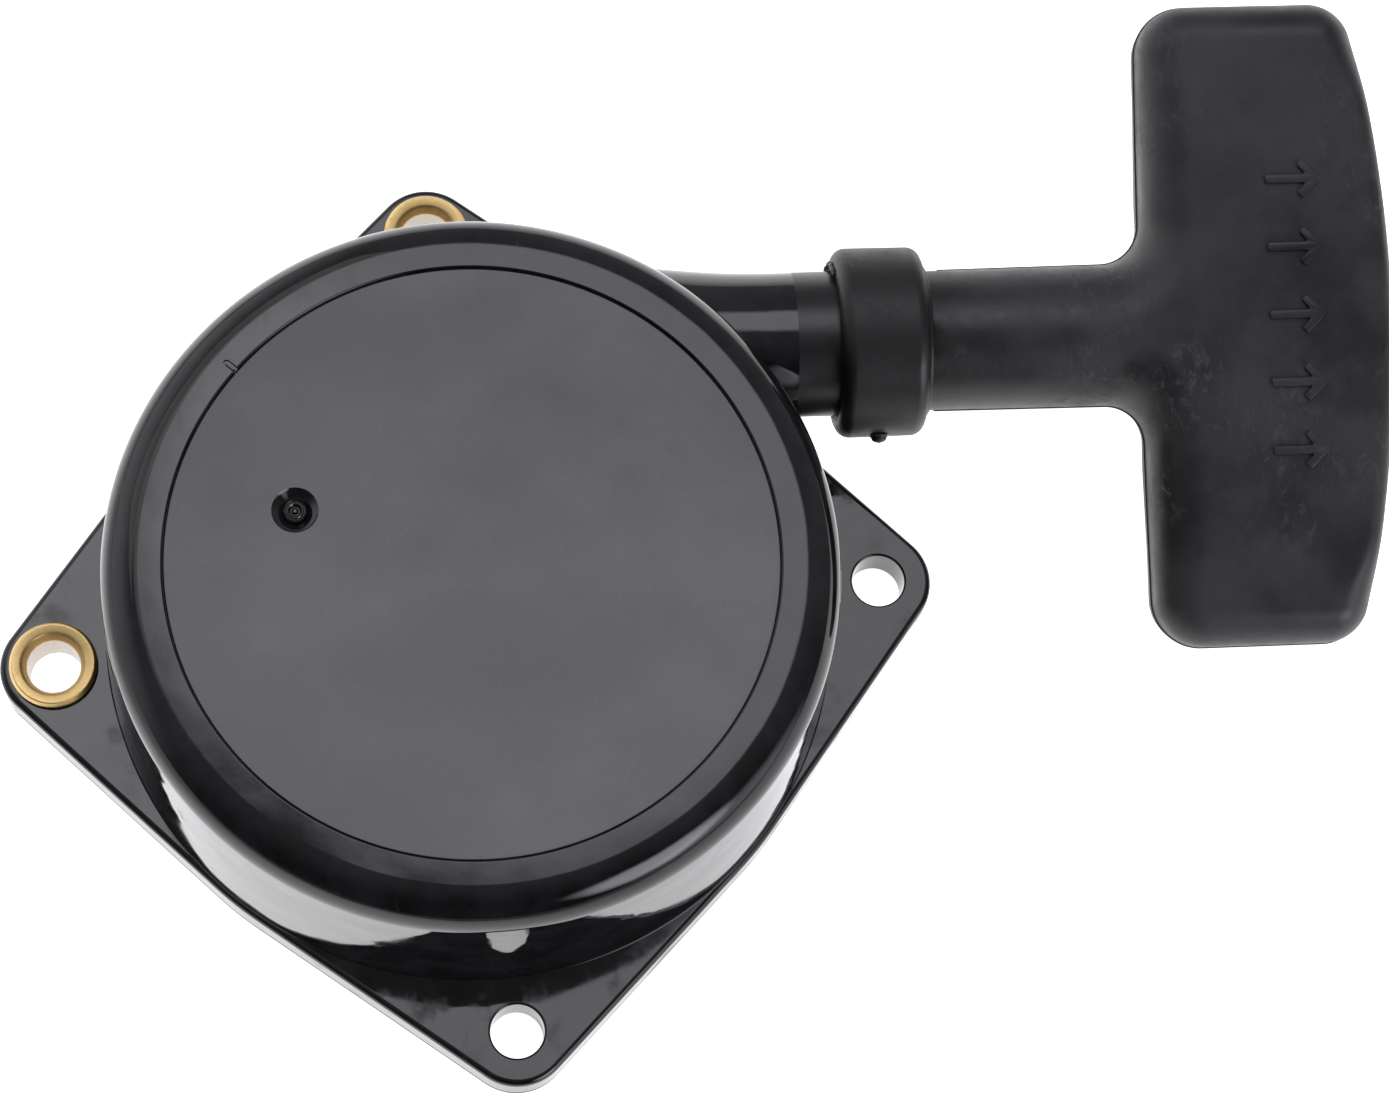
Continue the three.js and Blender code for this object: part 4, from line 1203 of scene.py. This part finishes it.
def zero_surface(field, low, high, step):
    """Quads on a field's zero surface: one point per mixed cell, one quad per crossing."""
    axes = [np.arange(a, b + step, step) for a, b in zip(low, high)]
    grid = np.stack(np.meshgrid(*axes, indexing="ij"), axis=-1)
    inside = field(grid.reshape(-1, 3)).reshape(grid.shape[:3]) < 0
    size = np.array(inside.shape)
    corners = sum(
        inside[i : size[0] - 1 + i, j : size[1] - 1 + j, k : size[2] - 1 + k].astype(int)
        for i, j, k in product((0, 1), repeat=3)
    )
    mixed = (corners > 0) & (corners < 8)
    number = np.full(mixed.shape, -1)
    number[mixed] = np.arange(mixed.sum())
    points = np.argwhere(mixed) * step + np.array(low) + step / 2
    quads = []
    for axis in range(3):
        across, up = (axis + 1) % 3, (axis + 2) % 3
        first = np.take(inside, range(size[axis] - 1), axis)
        second = np.take(inside, range(1, size[axis]), axis)
        edges = np.argwhere(first != second)
        edges = edges[(edges[:, across] > 0) & (edges[:, up] > 0)]
        cells = []
        for back_across, back_up in ((0, 0), (1, 0), (1, 1), (0, 1)):
            cell = edges.copy()
            cell[:, across] -= back_across
            cell[:, up] -= back_up
            cells.append(number[tuple(cell.T)])
        quad = np.stack(cells, axis=1)
        flip = first[tuple(edges.T)]
        quad[flip] = quad[flip][:, ::-1]
        quads.append(quad)
    return points, np.concatenate(quads)


def relaxed(field, points, quads, rounds=6):
    """Evens out a surface mesh along its surface."""
    links = np.concatenate([quads[:, [a, b]] for a, b in ((0, 1), (1, 2), (2, 3), (3, 0))])
    count = np.bincount(links.ravel(), minlength=len(points))[:, None]
    points = onto(field, points)
    for _ in range(rounds):
        total = np.zeros_like(points)
        np.add.at(total, links[:, 0], points[links[:, 1]])
        np.add.at(total, links[:, 1], points[links[:, 0]])
        points = onto(field, 0.4 * points + 0.6 * total / count, 2)
    return onto(field, points, 3)


def rubber_collar():
    corners = [
        (0, COLLAR_START, 0), (COLLAR_RADIUS, COLLAR_START, 1.7),
        (COLLAR_RADIUS - 0.08, COLLAR_END, 1.6), (9.45, COLLAR_END, 0.35),
        (9.25, COLLAR_END + 0.55, 0.3), (0, COLLAR_END + 0.55, 0),
    ]
    return lathe("collar", corners, 10, 160, "X")


def gate_nub():
    """The stub left where the handle was moulded, at the bottom of its collar."""
    profile = [(0, 10.5, 0), (2.3, 11.1, 1.0), (0.95, 11.9, 0.5), (0.9, 12.35, 0.5), (0, 12.65, 0)]
    nub = lathe("nub", profile, 5, 32)
    return move(nub, spin(98 - math.degrees(HANDLE_TWIST), "X"), (50.8, 0, 0))


def torn_lip():
    """Ragged flash where the two mould halves met round the mouth of the collar."""
    path = []
    for step in range(41):
        angle = math.radians(-66 + 2.9 * step - math.degrees(HANDLE_TWIST))
        reach = 9.75 + 0.16 * math.sin(1.7 * step) + 0.22 * math.exp(-((step - 9) / 5) ** 2)
        along = COLLAR_START - 0.18 - 0.05 * math.sin(0.9 * step)
        path.append((along, reach * math.cos(angle), reach * math.sin(angle)))
    return swept("torn_lip", path, 0.3, 10)


def burrs():
    """Small stubs on the parting line: at a corner of the crossbar and on the palm side."""
    lumps = []
    for x, y, size in ((109.2, 38.3, 0.45), (113.75, 5.2, 0.35), (113.4, -14.0, 0.28)):
        part = size * 0.7
        ball = [(0, -size), (part, -part), (size, 0), (part, part), (0, size)]
        lump = turned("burr", ball, 16)
        lumps.append(move(lump, None, (x, y, 0)))
    return lumps


def at_handle(thing):
    """Moves a thing from the handle's own frame to where the handle is."""
    return move(thing, Matrix.Rotation(HANDLE_TWIST, 3, "X"), ROPE_LINE)


def grip_height(x, y):
    """Height of the crossbar's front face, in the handle's frame."""
    points = np.stack((x, y, np.full(len(x), 9.5)), axis=1)
    for _ in range(20):
        points[:, 2] -= grip_distance(points) * 0.9
    return points[:, 2]


MARK_LINE = 101.9  # the raised marks are centred on this line
MARK_PITCH = 8.3
MARK_RISE = 0.45


def arrow():
    """Outline of an arrow along +X, as corners with fillets."""
    half, tip, tail, barb = 0.48, 2.9, -3.45, 2.9
    slant = math.sqrt(0.5)
    outer = (tip - slant * (barb - half), slant * (barb + half))
    inner = (tip - slant * (barb + half), slant * (barb - half))
    armpit = tip - half * (1 + math.sqrt(2))
    upper = [(*outer, 0.3), (*inner, 0.3), (armpit, half, 0.2), (tail, half, 0.3)]
    lower = [(x, -y, fillet) for x, y, fillet in upper[::-1]]
    return rounded([(tip + half * math.sqrt(2), 0, 0.3), *upper, *lower], 4)


def make_marks():
    """Five raised arrows that point the way the handle is pulled."""
    for mark in range(5):
        y = BAR_SHIFT + (2 - mark) * MARK_PITCH + 0.9
        outline = [(MARK_LINE + a, y + b) for a, b in arrow()]
        raised = soften(prism(f"pull_mark_{mark + 1}", outline, -0.5, MARK_RISE), 0.1, 2)
        places = points_of(raised.data)
        places[:, 2] += grip_height(places[:, 0], places[:, 1])
        raised.data.vertices.foreach_set("co", (places * MM).ravel())
        finish_piece(at_handle(raised), RUBBER, "handle", [], 40, False)


def parting_line():
    """Path of the mould's parting line round the grip, in the handle's middle plane."""
    here = np.array([[58.5, 8.7, 0.0]])
    flat = np.array([1.0, 1.0, 0.0])
    path = []
    for _ in range(900):
        rise = unit(slope(grip_distance, here)[0] * flat)
        heading = np.array([rise[1], -rise[0], 0.0])
        here = here + heading * 0.45
        for _ in range(3):
            rise = slope(grip_distance, here)[0] * flat
            here = here - rise * grip_distance(here)[0] / max((rise**2).sum(), 0.05)
        path.append(here[0].copy())
        if here[0][0] < 58.2 and here[0][1] < 0:
            break
    return path


def make_flash():
    line = at_handle(swept("parting_line", parting_line(), 0.15, 8))
    finish_piece(line, RUBBER, "handle", [], 80, False)


def make_grip():
    step = 0.5
    low, high = (50.0, -41.0, -10.5), (117.0, 42.5, 10.5)
    points, quads = zero_surface(grip_distance, low, high, step)
    points = relaxed(grip_distance, points, quads)
    grip = build("grip", points, quads.tolist())
    add(grip, rubber_collar())
    add(grip, gate_nub())
    for lump in (torn_lip(), *burrs()):
        add(grip, lump)
    socket = [(0, 44, 0), (9.9, 44, 0), (9.65, COLLAR_START, 0.3), (9.3, COLLAR_START + 0.6, 0.3)]
    socket += [(9.3, 52, 0.5), (0, 52, 0)]
    cut(grip, lathe("socket", socket, 4, 128, "X"))
    cut(grip, lathe("rope_bore", band(0, 2.4, 50, 102), 1, SMALL, "X"))
    pocket = [(0, 101, 0), (5.6, 101, 0.4), (5.6, 113.6, 0), (6.1, 116, 0), (0, 116, 0)]
    cut(grip, lathe("pocket", pocket, 3, 64, "X"))
    finish_piece(at_handle(grip), RUBBER, "handle", ["handle_grip"], 40)


def make_plug_and_knot():
    crown = BAR_OUTER - 0.35
    corners = [(0, 111.4, 0), (5.3, 111.4, 0.3), (5.3, crown - 0.35, 0.3), (2.5, crown - 0.05, 1)]
    plug = lathe("palm_plug", [*corners, (0, crown, 0)], 5, 64, "X")
    finish_piece(at_handle(plug), RUBBER, "handle", ["handle_plug"], 35)
    corners = band(2.05, 5.2, POCKET_FLOOR, POCKET_FLOOR + 1, 0.1, 0.15)
    shape = (corners, 3, 64, "X", ROPE_LINE)
    turned_piece("rope_washer", "knot_washer", PLATED, "plated_steel", *shape, body="rope_end")
    centre = np.array(ROPE_LINE) + np.array((106.0, 0, 0))
    make_knot("handle_knot", "rope_knot", 3.6, centre, Matrix.Identity(3), "rope_end")


# ---- Floor and light ----

FLOOR_SIZE = 3.0


def make_floor():
    half = FLOOR_SIZE / 2
    mesh = bpy.data.meshes.new("floor")
    corners = [(-half, -half, 0), (half, -half, 0), (half, half, 0), (-half, half, 0)]
    mesh.from_pydata(corners, [], [(0, 1, 2, 3)])
    floor = link("floor", mesh)
    floor.location.z = -0.0002
    paper = floor_paper()
    # Seen from below the floor is clear, so that the starter's open back can be looked at
    clear = paper.node("ShaderNodeBsdfTransparent")
    under = paper.node("ShaderNodeNewGeometry").outputs["Backfacing"]
    sides = {0: under, 1: paper.shader.outputs[0], 2: clear.outputs[0]}
    both = paper.node("ShaderNodeMixShader", sides)
    paper.tree.links.new(both.outputs[0], paper.tree.nodes["Material Output"].inputs[0])
    mesh.materials.append(paper.material)


def heading(tilt, azimuth):
    """A direction by its angle from straight up and its angle from +X."""
    tilt, azimuth = math.radians(tilt), math.radians(azimuth)
    flat = math.sin(tilt)
    return Vector((flat * math.cos(azimuth), flat * math.sin(azimuth), math.cos(tilt)))


ROOM_LEVEL = 0.08
ROOM_TINT = (0.967, 0.961, 1.027)


class Sky(Nodes):
    """Nodes of the world: how bright the studio is in each direction."""

    def __init__(self):
        world = bpy.data.worlds.new("studio")
        bpy.context.scene.world = world
        world.use_nodes = True
        super().__init__(world.node_tree)
        self.heading = self.node("ShaderNodeTexCoord").outputs["Generated"]

    def towards(self, middle, outer, inner, bright):
        """Brightness that rises from nothing at outer degrees off a direction to full at inner."""
        inputs = {0: self.heading, 1: middle}
        along = self.node("ShaderNodeVectorMath", inputs, operation="DOT_PRODUCT")
        outer, inner = math.cos(math.radians(outer)), math.cos(math.radians(inner))
        return self.spread(along.outputs["Value"], outer, inner, 0.0, bright)


def make_sky():
    """A dim room with soft panels overhead and behind, and strip lights low at the near side."""
    sky = Sky()
    # Direction, the angles where a lobe begins and is full, and its brightness
    lobes = [
        (heading(62, 95), 118, 50, 0.30),
        (heading(20.5, 76), 20, 12, 2.6),
        (heading(22, 120), 14, 5, 1.0),
        (heading(90, 150), 55, 15, 0.9),
        (heading(68, -52), 21, 8, 5.2),
        (heading(88, -35), 28, 8, 1.6),
    ]
    level = reduce(sky.plus, [sky.towards(*lobe) for lobe in lobes])
    level = sky.plus(level, ROOM_LEVEL)
    background = sky.tree.nodes["Background"]
    background.inputs["Color"].default_value = rgb(*ROOM_TINT)
    sky.tree.links.new(level, background.inputs["Strength"])


KEY_PLACE = Vector((-0.5, 0.75, 1.1))  # metres, like its size
KEY_SIZE = (0.9, 0.5)
KEY_WATTS = 1


def make_lights():
    data = bpy.data.lights.new("soft_key", "AREA")
    data.shape = "RECTANGLE"
    data.size, data.size_y = KEY_SIZE
    data.energy = KEY_WATTS
    key = bpy.data.objects.new("soft_key", data)
    key.location = KEY_PLACE
    key.rotation_mode = "QUATERNION"
    key.rotation_quaternion = KEY_PLACE.to_track_quat("Z", "Y")
    bpy.context.scene.collection.objects.link(key)


make_floor()
make_sky()
make_lights()
bpy.context.scene.view_settings.view_transform = "Standard"

make_housing()
make_grommets()
make_rope_guide()
make_post_insert()
make_centre_screw()
make_washer_and_bush()
make_spring_case()
make_power_spring()
make_reel()
make_rope_coil()
make_anchor_knot()
make_pawls()
make_guide_plate()
make_friction_spring()
make_grip()
make_marks()
make_flash()
make_plug_and_knot()
make_rope_run()
